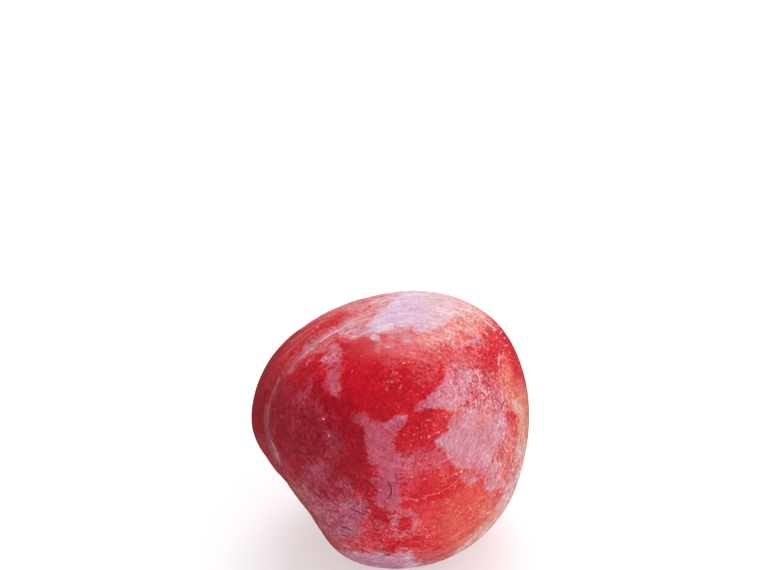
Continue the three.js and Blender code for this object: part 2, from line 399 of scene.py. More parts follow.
# Soft washes of the same film, and painted rim reflections along the edges: (outline, amount, softness px, tint, pits,
# strands)
WASHES_AND_RIM_REFLECTIONS = [
    ([(374, 335), (382, 339), (388, 343), (398, 343), (420, 346), (448, 348), (466, 352), (474, 362), (460, 365),
      (440, 364), (420, 363), (402, 360), (394, 355), (387, 349), (376, 341)], 0.095, 4, 0.75, 0.5, 0.3),
    ([(341, 334), (350, 335), (359, 337), (356, 342), (348, 344), (341, 341)], 0.10, 2.5, 0.75, 0.4, 0.3),
    ([(322, 333), (332, 329), (340, 329), (340, 335), (331, 341), (322, 345)], 0.10, 2.5, 0.30, 0.3, 0.7),
    # the notch of the forked band
    ([(386, 424), (394, 420), (402, 420), (402, 427), (396, 432), (388, 431)], 0.11, 2.0, 0.16, 0.3, 0.2),
    ([(334, 328), (342, 324), (352, 323), (356, 327), (348, 330), (338, 331)], 0.12, 2.5, 0.40, 0.3, 0.7),
    ([(356, 326), (364, 324), (372, 325), (374, 331), (366, 332), (358, 331)], 0.10, 2.5, 0.42, 0.3, 0.5),
    ([(380, 352), (390, 353), (402, 358), (400, 366), (388, 367), (379, 361)], 0.05, 4, 0.60, 0.5, 0.1),
    ([(412, 364), (424, 360), (438, 364), (441, 376), (432, 385), (418, 386), (410, 376)], 0.045, 5, 0.70, 0.8, 0.1),
    ([(404, 550), (412, 548), (424, 549), (438, 549), (450, 545), (452, 551), (438, 557), (422, 560), (408, 561)],
     0.10, 2.5, 0.85, 0.3, 0.3),
    ([(448, 374), (448, 360), (460, 352), (474, 354), (482, 364), (491, 371), (499, 385), (508, 397), (512, 405),
      (507, 412), (494, 414), (478, 412), (464, 412), (458, 408), (466, 402), (470, 390), (468, 378), (458, 372)],
     0.32, 5, 0.44, 0.9, 0.1),
    ([(395, 457), (405, 453), (416, 453), (427, 450), (436, 446), (445, 450), (450, 457), (449, 463), (442, 467),
      (430, 470), (418, 473), (408, 475), (401, 477), (398, 468)], 0.125, 6, 0.20, 0.6, 0.08),
    ([(304, 497), (318, 495), (332, 499), (345, 499), (360, 499), (369, 508), (368, 518), (360, 524), (352, 530),
      (340, 538), (328, 536), (319, 524), (311, 509)], 0.13, 7, 0.14, 0.3, 0.15),
    ([(276, 450), (288, 470), (302, 488), (318, 508), (328, 524), (342, 540), (360, 552), (340, 556), (322, 540),
      (306, 512), (288, 490), (272, 462)], 0.085, 6, 0.85, 0.4, 0.1),
    ([(284, 396), (300, 398), (320, 404), (336, 428), (346, 452), (330, 466), (304, 470), (286, 462), (276, 440),
      (278, 414)], 0.018, 10, 0.03, 0.4, 0.25),
    ([(300, 470), (318, 464), (336, 474), (352, 484), (360, 494), (352, 500), (330, 498), (312, 490), (302, 480)],
     0.038, 7, 0.08, 0.6, 0.2),
    ([(268, 380), (280, 376), (296, 372), (312, 368), (324, 372), (324, 386), (312, 396), (292, 398), (274, 396)],
     0.008, 7, 0.11, 0.5, 0.4),
    ([(500, 352), (508, 352), (510, 366), (507, 380), (502, 380), (499, 366)], 0.04, 3, 0.95, 0.9, 0.2),
    ([(500, 372), (508, 374), (514, 384), (517, 400), (514, 404), (505, 392)], 0.09, 3, 0.95, 0.5, 0.2),
    ([(518, 404), (524, 404), (528, 424), (527, 452), (524, 466), (520, 462), (521, 440), (519, 420)], 0.30, 3, 1.00, 0.3, 0.2),
    ([(505, 432), (512, 436), (514, 452), (512, 468), (504, 472), (500, 462), (503, 448)], 0.18, 4, 0.80, 1.0, 0.1),
    ([(517, 444), (527, 438), (528, 456), (524, 470), (519, 483), (513, 493), (506, 499), (503, 491), (508, 480),
      (511, 470), (514, 458)], 0.27, 3, 0.72, 0.4, 0.2),
    ([(495, 438), (505, 436), (508, 446), (506, 457), (500, 459), (496, 450)], 0.16, 3, 0.40, 0.9, 0.1),
    ([(516, 374), (524, 380), (527, 398), (521, 402), (517, 390)], 0.12, 2.5, 0.90, 0.5, 0.2),
    ([(406, 557), (414, 559), (424, 559), (436, 556.5), (440, 560), (428, 567), (412, 571), (404, 566)],
     0.20, 2.5, 0.50, 0.3, 0.3),
    ([(478, 326), (484, 325), (489, 332), (490, 346), (484, 352), (476, 346)], 0.065, 3, 0.75, 1.0, 0.0),
    ([(482, 508), (491, 505), (496, 510), (490, 519), (482, 522), (478, 516)], 0.12, 3, 1.0, 0.8, 0.1),
    ([(416, 522), (430, 520), (442, 526), (440, 536), (426, 538), (416, 532)], 0.025, 4, 0.60, 0.8, 0.1),
    ([(256, 436), (264, 440), (272, 452), (278, 464), (272, 466), (262, 454)], 0.05, 4, 0.70, 0.2, 0.2),
    ([(496, 484), (506, 478), (512, 470), (514, 478), (506, 490), (498, 498), (488, 506), (486, 498)], 0.10, 4, 0.90, 0.8, 0.1),
    # pale band along the lower right edge: partly pale film, partly a painted rim reflection
    ([(516, 486), (506, 500), (494, 514), (479, 530), (463, 542), (452, 549), (454, 560), (470, 552), (488, 536),
      (504, 520), (522, 492)], 0.44, 4, 0.92, 0.3, 0.3),
    ([(404, 563), (420, 561.5), (440, 558), (460, 550), (478, 539), (494, 525), (506, 509), (516, 490), (520, 492),
      (508, 518), (494, 536), (476, 550), (456, 560), (436, 568), (404, 572)], 0.22, 1.8, 0.60, 0.2, 0.2),
    ([(488, 450), (500, 456), (504, 468), (498, 478), (488, 472), (478, 470), (480, 460)], 0.16, 5, 0.75, 0.6, 0.2),
    ([(368, 538), (384, 543), (392, 547), (384, 551), (370, 551), (356, 550), (340, 548), (340, 542), (354, 544)],
     0.09, 4, 0.70, 0.8, 0.2),
    ([(300, 480), (308, 485), (320, 489), (318, 497), (308, 499), (298, 492), (292, 482)], 0.10, 5, 0.41, 0.6, 0.2),
    # painted reflection: the bright cream streak just inside the upper right edge
    ([(470, 304), (482, 309), (491, 317), (495, 323), (489, 323), (482, 318), (472, 309)], 0.20, 2.2, 0.80, 0.8, 0.3),
    ([(340, 308), (352, 303), (368, 299), (384, 302), (382, 311), (366, 312), (348, 313)], 0.25, 4, 0.72, 0.3, 0.5),
    # painted rim reflection: a thin bright line along the upper left edge, and a fainter band just inside it
    ([(300, 324), (310, 317), (322, 310), (334, 304), (346, 299), (358, 295.5), (370, 292.5), (382, 290), (396, 287),
      (396, 292.5), (382, 295), (370, 298), (358, 301), (346, 304.5), (334, 309.5), (322, 315.5), (310, 322.5), (300, 329.5)],
     0.50, 0.9, 0.70, 0.2, 0.5),
    ([(316, 318), (326, 312), (338, 306), (352, 301), (370, 297), (384, 296), (380, 303), (362, 306), (348, 309),
      (336, 313), (327, 317), (318, 321)], 0.14, 2.0, 0.72, 0.3, 0.7),
    ([(264, 408), (268, 402), (271, 410), (270, 424), (272, 438), (277, 450), (281, 460), (276, 461), (270, 451),
      (265, 439), (263, 422)], 0.085, 2.2, 0.40, 0.3, 0.5),
    ([(368, 523), (378, 520), (388, 524), (393, 532), (396, 539), (386, 540), (374, 537), (366, 531)],
     0.065, 3, 0.25, 0.8, 0.1),
    ([(400, 476), (414, 477), (420, 484), (414, 492), (404, 492), (401, 484)], 0.06, 4, 0.05, 0.5, 0.1),
    ([(507, 419), (512, 418), (514, 428), (513, 436), (508, 434), (507, 427)], 0.14, 2, 0.75, 0.5, 0.1),
    ([(503, 480), (509, 474), (514, 478), (509, 487), (502, 492), (499, 487)], 0.20, 2.2, 0.70, 0.4, 0.1),
]
# Where something has brushed the film thinner: (outline, share taken off, softness px)
RUBS = [
    ([(305, 351), (298, 356), (290, 364), (282, 374), (288, 378), (297, 369), (306, 360)], 0.38, 3),
    ([(270, 363), (282, 347), (296, 334), (310, 325), (316, 329), (304, 338), (293, 347), (282, 361), (274, 373)], 0.42, 3),
    ([(346, 344), (360, 342), (374, 345), (374, 356), (360, 362), (348, 358)], 0.42, 3),
    ([(344, 315), (354, 309), (368, 306), (368, 314), (356, 319), (347, 321)], 0.28, 3),
    ([(449, 417), (456, 415), (466, 412), (464, 420), (458, 426), (450, 431), (446, 427)], 0.32, 3),
    ([(450, 452), (458, 456), (466, 462), (474, 466), (470, 472), (460, 469), (452, 462)], 0.22, 3),
    ([(473, 376), (478, 376), (479, 382), (474, 384)], 0.6, 2),
    ([(448, 361), (453, 359), (458, 362), (458, 368), (452, 370), (448, 367)], 0.40, 2.5),
    ([(453, 336), (462, 334), (468, 337), (465, 344), (458, 346), (452, 343)], 0.34, 3),
    ([(470, 327), (479, 325), (483, 331), (478, 334), (471, 333)], 0.30, 2),
    ([(504, 397), (511, 396), (512, 404), (506, 406)], 0.55, 2),
    ([(486, 380), (491, 377), (500, 386), (495, 391), (488, 386)], 0.62, 2),
    ([(472, 392), (478, 391), (479, 399), (473, 400)], 0.8, 1.5),
    ([(464, 398), (472, 399), (478, 404), (470, 409), (463, 406)], 0.25, 2),
    ([(478, 407), (486, 408), (490, 413), (488, 424), (481, 429), (475, 424), (476, 414)], 0.46, 3),
    ([(490, 409), (500, 410), (501, 415), (492, 416)], 0.3, 2.5),
    ([(444, 352), (452, 349), (458, 356), (452, 364), (445, 360)], 0.5, 3),
    ([(455, 354), (466, 350), (478, 353), (488, 361), (492, 370), (484, 373), (474, 366), (462, 366), (456, 362)], 0.80, 3),
    ([(446, 372), (455, 370), (466, 373), (466, 379), (456, 380), (448, 378)], 0.36, 2.5),
    ([(411, 412), (415, 405), (423, 401), (428, 404), (422, 410), (415, 413)], 0.45, 2),
    ([(424, 405), (430, 396), (437, 394), (437, 404), (430, 408)], 0.18, 2.5),
    ([(466, 458), (476, 456), (490, 460), (486, 467), (474, 468), (466, 466)], 0.13, 3),
    ([(401, 519), (404.5, 517.5), (408.5, 518), (411.5, 520.5), (412.8, 524), (411.5, 527.5), (408, 529.8), (404, 529.5),
      (400.5, 527.5), (399, 524), (399.2, 521)], 0.88, 1.2),
    ([(383, 340), (391, 340), (398, 341), (396, 345), (386, 346)], 0.4, 1.5),
    ([(506, 409), (513, 409), (516, 420), (515, 420), (511, 420), (507, 416)], 0.30, 3),
    ([(511, 350), (519, 362), (522, 378), (516, 380), (511, 364)], 0.5, 2.5),
    ([(494, 331), (501, 331), (509, 338), (515, 346), (519, 355), (513, 357), (507, 351), (500, 346), (494, 339)], 0.72, 2.5),
]

edge = np.full(len(px), -16.0)
fields = np.zeros((6, len(px)))  # amount, softness, fray, tint, pits, strands
share = np.full(len(px), 1e-9)
for outline, *values in BLOOM_AND_HIGHLIGHTS:
    d = polygon_distance(outline)
    edge = np.maximum(edge, d)
    k = np.exp(np.clip(d, -16, 6) / 1.7)
    share += k
    fields += k * np.array(values)[:, None]
amount, softness, fray, tint, pits, strands = fields / share
wash = np.zeros(len(px))
wash_tint, wash_pits, wash_strands, wash_share = (np.full(len(px), v) for v in (0.5e-3, 0.4e-3, 0.3e-3, 1e-3))
for outline, a, soft, t, pit, st in WASHES_AND_RIM_REFLECTIONS:
    k = soft_shape(outline, soft)
    wash = 1 - (1 - wash) * (1 - a * k)
    wash_share += k
    wash_tint += k * t; wash_pits += k * pit; wash_strands += k * st
wash_tint /= wash_share; wash_pits /= wash_share; wash_strands /= wash_share
rub = np.zeros(len(px))
for outline, a, soft in RUBS:
    rub = 1 - (1 - rub) * (1 - a * soft_shape(outline, soft))
rub *= seen

# The far side carries patches and washes of the same kind, grown from random fields.
far = 1 - seen
far_edge = (waves(u, 1.5, 11) + 0.40 * waves(u, 4.0, 12) - 0.34) * 15
edge = np.clip(edge * seen + far_edge * far, -14, 14)
amount = np.clip(amount * seen + (0.30 + 0.14 * waves(u, 1.2, 13)) * far, 0, 1)
softness = softness * seen + np.clip(2.8 + 1.5 * waves(u, 1.4, 16), 1.2, 5) * far
fray = fray * seen + np.clip(1.6 + 0.6 * waves(u, 1.6, 17), 0.8, 2.6) * far
tint = np.clip(tint * seen + (0.50 + 0.22 * waves(u, 1.0, 14)) * far, 0, 1)
pits = np.clip(pits * seen + (0.22 + 0.30 * waves(u, 1.3, 18)) * far, 0, 1)
strands = np.clip(strands * seen + (0.18 + 0.22 * waves(u, 1.4, 15)) * far, 0, 1)
wash = np.clip(wash * seen + (0.06 + 0.10 * waves(u, 1.3, 19)) * far, 0, 0.5)
wash_tint = np.clip(wash_tint * seen + (0.55 + 0.25 * waves(u, 1.0, 20)) * far, 0, 1)
wash_pits = np.clip(wash_pits * seen + (0.4 + 0.4 * waves(u, 1.6, 23)) * far, 0, 1)
wash_strands = np.clip(wash_strands * seen + (0.2 + 0.2 * waves(u, 1.4, 24)) * far, 0, 1)

# Ground colour of the skin: 0 dark crimson, 0.36 red, 0.7 orange red, 1 gold. The dark crimson down the left and lower
# left is partly the skin's own colour, partly painted shade for the side turned from the light.
RIPE_AND_SHADE = [
    (300, 430, 30, 48, 0.02), (318, 402, 18, 22, 0.15), (309, 374, 8, 9, 0.40), (306, 386, 6, 7, 0.38), (299, 376, 8, 8, 0.26), (301, 396, 6, 7, 0.32), (352, 455, 10, 26, 0.08), (262, 410, 9, 40, 0.05), (276, 462, 9, 12, 0.00), (292, 486, 9, 10, 0.02), (303, 501, 7, 8, 0.06),
    (290, 470, 12, 12, 0.16), (306, 486, 10, 10, 0.14), (300, 350, 16, 9, 0.32), (292, 342, 14, 6, 0.25), (308, 330, 14, 6, 0.30), (280, 362, 11, 14, 0.22), (291, 368, 7, 9, 0.40),
    (322, 326, 18, 8, 0.40), (345, 313, 10, 5, 0.42), (360, 306, 20, 6, 0.55), (390, 318, 24, 12, 0.55),
    (320, 362, 12, 12, 0.46), (332, 382, 10, 12, 0.54), (318, 405, 6, 8, 0.24), (333, 363, 9, 7, 0.42), (328, 351, 8, 6, 0.56), (350, 402, 12, 14, 0.22), (340, 415, 10, 16, 0.12),
    (362, 380, 20, 22, 0.36), (385, 366, 26, 20, 0.38), (382, 400, 20, 12, 0.28), (356, 348, 14, 8, 0.36),
    (410, 392, 16, 20, 0.36), (426, 372, 18, 9, 0.45), (420, 352, 34, 9, 0.60), (350, 338, 12, 4, 0.55),
    (428, 341, 14, 7, 0.78), (455, 330, 10, 12, 0.86), (468, 322, 14, 10, 0.92), (480, 312, 14, 8, 0.80),
    (498, 338, 14, 18, 0.37), (484, 356, 14, 14, 0.42), (512, 352, 8, 14, 0.40), (518, 378, 5, 14, 0.52),
    (506, 380, 6, 22, 0.88), (514, 396, 7, 14, 0.96), (524, 420, 5, 24, 0.98), (511, 420, 5, 12, 0.46),
    (500, 400, 8, 10, 0.56), (480, 388, 14, 14, 0.52), (455, 390, 16, 16, 0.48), (452, 362, 12, 10, 0.56),
    (412, 432, 18, 18, 0.38), (443, 418, 8, 8, 0.60), (455, 411, 10, 4, 0.72), (436, 412, 6, 4, 0.36), (438, 428, 8, 6, 0.50),
    (470, 440, 22, 18, 0.54), (482, 417, 6, 9, 0.82), (507, 450, 8, 24, 0.74), (520, 452, 5, 20, 0.86), (497, 455, 6, 12, 0.58),
    (440, 478, 22, 12, 0.57), (462, 478, 14, 10, 0.62), (475, 496, 20, 12, 0.76), (498, 490, 10, 10, 0.62),
    (424, 492, 22, 8, 0.46), (452, 512, 26, 14, 0.72), (430, 524, 16, 14, 0.64), (468, 534, 22, 16, 0.82),
    (420, 507, 14, 8, 0.50), (377, 448, 8, 32, 0.33), (367, 474, 5, 12, 0.15), (388, 495, 10, 18, 0.27), (396, 440, 5, 14, 0.34), (372, 490, 5, 16, 0.22),
    (380, 516, 16, 6, 0.24), (380, 530, 14, 6, 0.36), (385, 538, 20, 10, 0.37), (408, 540, 12, 8, 0.52), (360, 545, 12, 6, 0.42),
    (335, 481, 8, 6, 0.18), (335, 492, 14, 7, 0.08), (316, 520, 8, 16, 0.14), (300, 500, 8, 14, 0.14), (322, 478, 14, 12, 0.06), (352, 512, 12, 10, 0.16), (330, 512, 12, 14, 0.12),
    (326, 536, 9, 8, 0.12), (345, 532, 12, 10, 0.16), (344, 549, 12, 5, 0.22), (430, 553, 24, 6, 0.58),
    (460, 548, 18, 6, 0.72), (378, 562, 30, 7, 0.20), (404, 560, 10, 6, 0.36), (405, 522, 5, 5, 0.34), (395, 521, 5, 8, 0.50), (413, 515, 8, 8, 0.52),
    (425, 460, 18, 12, 0.50), (358, 492, 8, 10, 0.24), (500, 512, 14, 12, 0.84), (482, 530, 10, 8, 0.96),
]
ripe_and_shade = ovals(RIPE_AND_SHADE, 0.36)
ripe_and_shade = np.clip(ripe_and_shade * seen + (0.33 + 0.20 * waves(u, 0.8, 21) + 0.08 * waves(u, 3.0, 22)) * far, 0, 1)

# How thickly the tiny pale dots lie.
DOT_SHARE = [
    (300, 430, 40, 60, 0.10), (345, 440, 24, 50, 0.06), (366, 366, 24, 26, 0.26), (400, 375, 14, 14, 0.50),
    (430, 365, 26, 20, 0.66), (493, 350, 22, 20, 0.95), (465, 330, 20, 14, 0.72), (480, 385, 22, 20, 0.9),
    (512, 368, 10, 18, 0.90), (504, 340, 9, 14, 0.42), (420, 430, 26, 18, 0.45), (450, 418, 12, 10, 0.8), (470, 442, 20, 16, 0.30),
    (508, 450, 10, 28, 1.0), (450, 490, 34, 18, 0.75), (485, 510, 24, 18, 0.95), (440, 530, 34, 20, 0.80),
    (385, 538, 26, 14, 0.78), (368, 492, 12, 16, 0.75), (385, 455, 12, 36, 0.10), (320, 510, 20, 20, 0.30),
    (415, 310, 30, 12, 0.08), (300, 345, 24, 22, 0.30), (482, 418, 8, 10, 1.0), (496, 420, 8, 10, 0.8),
]
dots = ovals(DOT_SHARE, 0.4)
far_dots = 0.55 + 0.35 * waves(u, 1.0, 31) + 0.25 * smooth(from_stem_deg(u), 120, 170)
dots = np.clip(dots * seen + far_dots * far, 0, 1)

# How strongly the ground is flecked with small dark red marks.
FLECKS = [
    (300, 430, 34, 50, 0.25), (350, 450, 14, 40, 0.12), (370, 375, 30, 34, 0.04), (366, 492, 12, 18, 0.75),
    (384, 538, 26, 14, 0.60), (335, 488, 16, 10, 0.40), (340, 520, 26, 20, 0.28), (425, 430, 22, 18, 0.35),
    (480, 384, 20, 16, 0.80), (495, 345, 22, 18, 0.65), (508, 450, 10, 28, 0.60), (425, 460, 24, 14, 0.30),
    (450, 500, 36, 20, 0.14), (440, 532, 30, 16, 0.22), (375, 543, 18, 6, 0.8), (318, 350, 26, 20, 0.55), (470, 315, 16, 12, 0.8), (455, 335, 20, 12, 0.60), (470, 440, 22, 18, 0.15),
    (400, 375, 14, 10, 0.35), (410, 312, 40, 14, 0.02), (380, 455, 10, 34, 0.10),
]
flecks = ovals(FLECKS, 0.3)
flecks = np.clip(flecks * seen + (0.25 + 0.30 * waves(u, 1.2, 33)) * far, 0, 1)

# How many short curled cracks the film and skin show.
CURLS = [
    (335, 505, 38, 40, 0.9), (388, 495, 14, 20, 0.7), (310, 445, 34, 30, 0.45), (390, 390, 60, 40, 0.0),
    (410, 315, 50, 20, 0.12), (475, 440, 30, 24, 0.12), (505, 430, 16, 40, 0.5), (440, 500, 40, 20, 0.08),
    (385, 530, 26, 16, 0.7), (380, 560, 30, 8, 0.3), (345, 350, 20, 16, 0.3), (480, 330, 16, 16, 0.3),
]
curls = ovals(CURLS, 0.25)
curls = np.clip(curls * seen + (0.3 + 0.35 * waves(u, 1.4, 35)) * far, 0, 1)

# How matt the skin is where the film is too thin to see.
MATT = [(300, 430, 50, 70, 0.8), (310, 340, 40, 30, 0.5), (330, 500, 40, 30, 0.8), (390, 385, 50, 40, 0.15), (362, 352, 18, 12, 0.10),
        (420, 440, 40, 30, 0.3), (490, 350, 30, 30, 0.5), (460, 500, 50, 40, 0.4), (510, 430, 20, 50, 0.6)]
matt = np.clip(ovals(MATT, 0.4) * seen + (0.5 + 0.25 * waves(u, 1.1, 41)) * far, 0, 1)

# An old olive-brown rub mark with tan specks.
spot = np.exp(-(((px - 394) / 10.0) ** 2 + ((py - 380) / 9.0) ** 2) ** 1.5) * seen

# Single dots that stand out: (x, y, radius px, strength, -1 white, 0 pink, 1 gold)
SINGLE_DOTS = [
    (323.5, 419, 1.5, 0.85, -1), (329, 435.5, 1.6, 0.6, -0.6), (327.5, 414.5, 1.2, 0.35, 0.0), (283.5, 372.5, 1.3, 0.6, 0.2),
    (274, 409.5, 1.3, 0.6, 0.3), (376.5, 407, 1.2, 0.4, 0.3), (398.5, 406.5, 1.4, 0.5, 0.2), (384.5, 414.5, 1.1, 0.3, 0.3),
    (356, 363, 1.1, 0.4, 0.4), (361.5, 356.5, 1.0, 0.4, 0.3), (374.5, 363, 1.2, 0.6, 0.3), (403.5, 363, 1.4, 0.9, 0.7),
    (409, 362, 1.6, 0.5, 0.5), (390, 356, 1.0, 0.4, 0.4), (351, 386, 1.0, 0.4, 0.3), (404, 434.5, 1.4, 0.5, 0.2),
    (414, 434.5, 1.4, 0.6, 0.2), (411, 445, 1.6, 0.5, 0.2), (427, 420, 1.3, 0.5, 0.2), (430.5, 420.5, 1.2, 0.5, 0.3),
    (426, 425.5, 1.4, 0.5, 0.2), (421.5, 437.5, 1.4, 0.6, 0.6), (429, 436.5, 1.6, 0.9, 0.6), (438.5, 432.5, 1.6, 0.95, 0.65),
    (446, 416.5, 1.3, 0.75, 0.6), (434, 414, 1.2, 0.6, 0.5), (426, 458, 1.5, 0.5, 0.1), (418, 463, 1.7, 0.6, 0.1),
    (433, 455.5, 1.5, 0.5, 0.2), (447.5, 456, 1.3, 0.6, 0.2), (458, 439.5, 1.4, 0.4, 0.0), (440, 475, 1.1, 0.6, 0.3),
    (448, 475, 1.1, 0.6, 0.3), (456.5, 474, 1.5, 0.8, 0.7), (461.5, 471.5, 2.0, 1.0, 0.8), (469.5, 471, 1.2, 0.7, 0.5),
    (455, 486, 1.3, 0.7, 0.4), (417, 500.5, 1.5, 0.9, 0.4), (424, 499, 1.1, 0.6, 0.3), (432.5, 502, 1.4, 0.7, 0.3),
    (439, 493, 1.4, 0.7, 0.4), (410, 509, 1.4, 0.8, 0.4), (471, 486.5, 1.3, 0.7, 0.6), (500.5, 492, 1.7, 0.9, 0.7),
    (494.5, 495, 1.5, 0.8, 0.5), (482, 478, 1.3, 0.7, 0.4), (506.5, 442, 1.4, 0.8, 0.6), (511, 450.5, 1.5, 0.8, 0.5),
    (513, 470, 1.4, 1.0, 1.0), (509, 470.5, 1.1, 0.7, 0.9), (511, 478, 1.3, 0.7, 0.6), (514.5, 429.5, 1.4, 0.8, 0.5),
    (518, 459.5, 1.2, 0.8, 0.3), (497, 431, 1.3, 0.6, 0.2), (488.5, 417, 1.0, 0.9, 0.4), (484, 413.5, 1.2, 1.0, 0.8),
    (480, 419, 1.1, 1.0, 0.8), (482, 424.5, 1.1, 0.9, 0.7), (485.5, 420.5, 1.1, 1.0, 0.9), (523, 408.5, 1.3, 0.7, 0.7),
    (488, 349.5, 1.1, 0.9, -0.4), (492.5, 345, 1.0, 0.7, -0.2), (493, 351, 0.9, 0.6, 0.2), (504.5, 345.5, 1.3, 0.6, 0.2),
    (512, 343.5, 1.2, 0.8, 0.3), (515, 347.5, 1.2, 0.8, 0.3), (519, 357, 1.2, 0.8, 0.3), (513, 361, 1.0, 0.6, 0.3),
    (504, 366, 1.5, 0.7, 0.5), (476, 358.5, 1.5, 0.6, 0.3), (484, 358, 1.3, 0.5, 0.3), (494, 373, 1.3, 0.6, 0.3),
    (497, 377.5, 1.2, 0.6, 0.3), (440, 357.5, 1.8, 0.7, 0.5), (448.5, 360, 1.3, 0.6, 0.4), (425.5, 358.5, 1.5, 0.5, 0.4),
    (443, 369.5, 1.2, 0.6, 0.5), (447, 370, 1.2, 0.6, 0.5), (435.5, 369, 1.2, 0.6, 0.6), (427.5, 373, 1.4, 0.5, 0.3),
    (419.5, 376, 1.1, 0.4, 0.3), (425, 385.5, 1.0, 0.4, 0.2), (417, 394.5, 1.2, 0.4, 0.3), (454, 326, 1.4, 0.8, 0.3),
    (454.5, 330, 1.3, 0.7, 0.4), (463, 324, 1.4, 0.6, 0.3), (484.5, 332.5, 1.4, 0.7, 0.5), (480, 347, 1.4, 0.7, 0.6),
    (459.5, 506.5, 1.1, 0.8, 0.7), (455.5, 511, 1.0, 0.7, 0.8), (463.5, 510, 1.0, 0.6, 0.6), (479, 506, 1.4, 0.7, 0.4),
    (487.5, 513, 1.5, 1.0, 0.8), (484, 516.5, 1.3, 0.7, 0.8), (480, 517, 1.1, 0.6, 0.7), (491, 512, 1.2, 0.8, 0.9),
    (427, 537, 1.5, 0.7, 0.3), (414, 533.5, 1.4, 0.6, 0.3), (440, 543, 1.2, 0.6, 0.5), (425.5, 529, 1.2, 0.5, 0.3),
    (396.5, 539.5, 1.4, 0.7, 0.4), (370, 511, 1.5, 0.6, 0.4), (387, 535, 1.3, 0.5, 0.4), (376, 543, 1.2, 0.5, 0.5),
    (354, 491, 1.2, 0.5, 0.4), (369.5, 493.5, 1.3, 0.6, 0.4), (364, 549, 1.2, 0.6, 0.5), (401, 548, 1.1, 0.5, 0.4),
    (384, 382, 1.6, 0.30, 0.2), (387, 390, 1.9, 0.32, 0.2), (400, 388, 1.9, 0.32, 0.2), (396, 373, 1.7, 0.30, 0.2),
    (391, 376, 1.4, 0.22, 0.2), (394, 381, 1.4, 0.20, 0.2), (388, 386, 1.4, 0.18, 0.2), (399, 380, 1.5, 0.20, 0.2),
    (392, 369, 1.4, 0.24, 0.2), (401, 385, 1.3, 0.20, 0.2), (385, 374, 1.3, 0.18, 0.2),
    (490, 325.5, 1.3, 0.8, -0.4), (494, 330, 1.3, 0.8, -0.4), (498, 325.5, 1.2, 0.7, -0.3), (501.5, 331.5, 1.3, 0.7, -0.3),
    (504.5, 338, 1.1, 0.9, -0.3), (507, 345.5, 1.1, 0.9, -0.2), (510, 352.5, 1.1, 0.8, -0.2), (500.5, 333.5, 1.0, 0.8, -0.3),
    (500.5, 341.5, 1.0, 0.8, -0.4), (503.5, 350, 1.0, 0.7, -0.2), (496, 330, 1.0, 0.8, -0.3), (495.5, 355.5, 0.9, 0.7, -0.2), (484, 344, 0.9, 0.7, -0.3),
    (497, 345.5, 1.1, 0.6, 0), (487, 334, 1.3, 0.8, -0.3), (484, 328.5, 1.2, 0.7, -0.3),
    (480, 330.5, 1.2, 0.6, -0.2), (496.5, 337.5, 1.2, 0.7, -0.2), (503, 357, 1.2, 0.6, -0.2), (499, 358, 1.4, 0.8, -0.5),
    (498.5, 364, 1.3, 0.7, -0.4), (499, 371, 1.2, 0.6, -0.3), (501, 381, 1.2, 0.6, -0.3), (507, 451, 1.4, 0.8, -0.4),
    (513, 447, 1.3, 0.8, -0.4), (510.5, 439, 1.2, 0.6, -0.2), (505, 461, 1.3, 0.6, -0.2), (511.5, 457, 1.2, 0.7, -0.3),
    (348, 352, 1.0, 0.4, 0.3), (352, 371, 1.2, 0.5, 0.3), (367, 372, 1.0, 0.35, 0.3), (358, 378, 1.0, 0.3, 0.2),
    (381, 360, 1.2, 0.4, 0.4), (413, 372, 1.2, 0.5, 0.4), (419, 383, 1.2, 0.5, 0.3), (411, 391, 1.0, 0.4, 0.3),
    (422, 366, 1.2, 0.5, 0.5), (431, 379, 1.2, 0.5, 0.4), (423, 392, 1.1, 0.4, 0.3), (408, 399, 1.1, 0.4, 0.3),
    (417, 428, 1.2, 0.5, 0.2), (408, 427, 1.1, 0.4, 0.2), (434, 425, 1.3, 0.6, 0.5), (413, 441, 1.1, 0.4, 0.2),
    (430, 463, 1.3, 0.5, 0.2), (442, 461, 1.3, 0.6, 0.3), (423, 467, 1.1, 0.4, 0.2), (436, 450, 1.2, 0.5, 0.2),
    (444, 319, 1.5, 0.5, 0.0), (331, 508, 1.0, 0.3, 0.3), (312.5, 331, 1.3, 0.5, 0.4), (317.5, 327, 1.4, 0.7, 0.6),
    (397.5, 373, 1.3, 0.45, 0.3), (400.5, 376, 1.2, 0.40, 0.3), (393, 372, 1.2, 0.40, 0.3), (401.5, 386, 1.2, 0.42, 0.3),
    (385.5, 369.5, 1.1, 0.35, 0.3), (398, 380.5, 1.1, 0.35, 0.3), (386, 388.5, 1.2, 0.40, 0.3), (383.5, 381.5, 1.2, 0.35, 0.3),
]
dot_at = np.zeros((len(px), 3))
dot_at[:, :2] = 60
dot_kind = np.zeros((len(px), 2))
best = np.full(len(px), 60.0)
for x, y, r_px, a, gold in SINGLE_DOTS:
    r_px, a = 1.1 * r_px, min(1.15, 1.25 * a)
    d = np.hypot(px - x, py - y)
    m = (d < best) & (facing > 0.12)
    best[m] = d[m]
    # far from the dot the vector grows fast, so that no false dot shows between two neighbours
    out_ = d[m] / r_px
    grow = (np.minimum(out_, 1.4) + np.maximum(out_ - 1.4, 0) * 20) / np.maximum(out_, 1e-6) / r_px
    dot_at[m] = np.stack([(px[m] - x) * grow, (py[m] - y) * grow, 0 * px[m]], 1)
    dot_kind[m] = (a, gold)
dot_at = np.clip(dot_at, -40, 40)

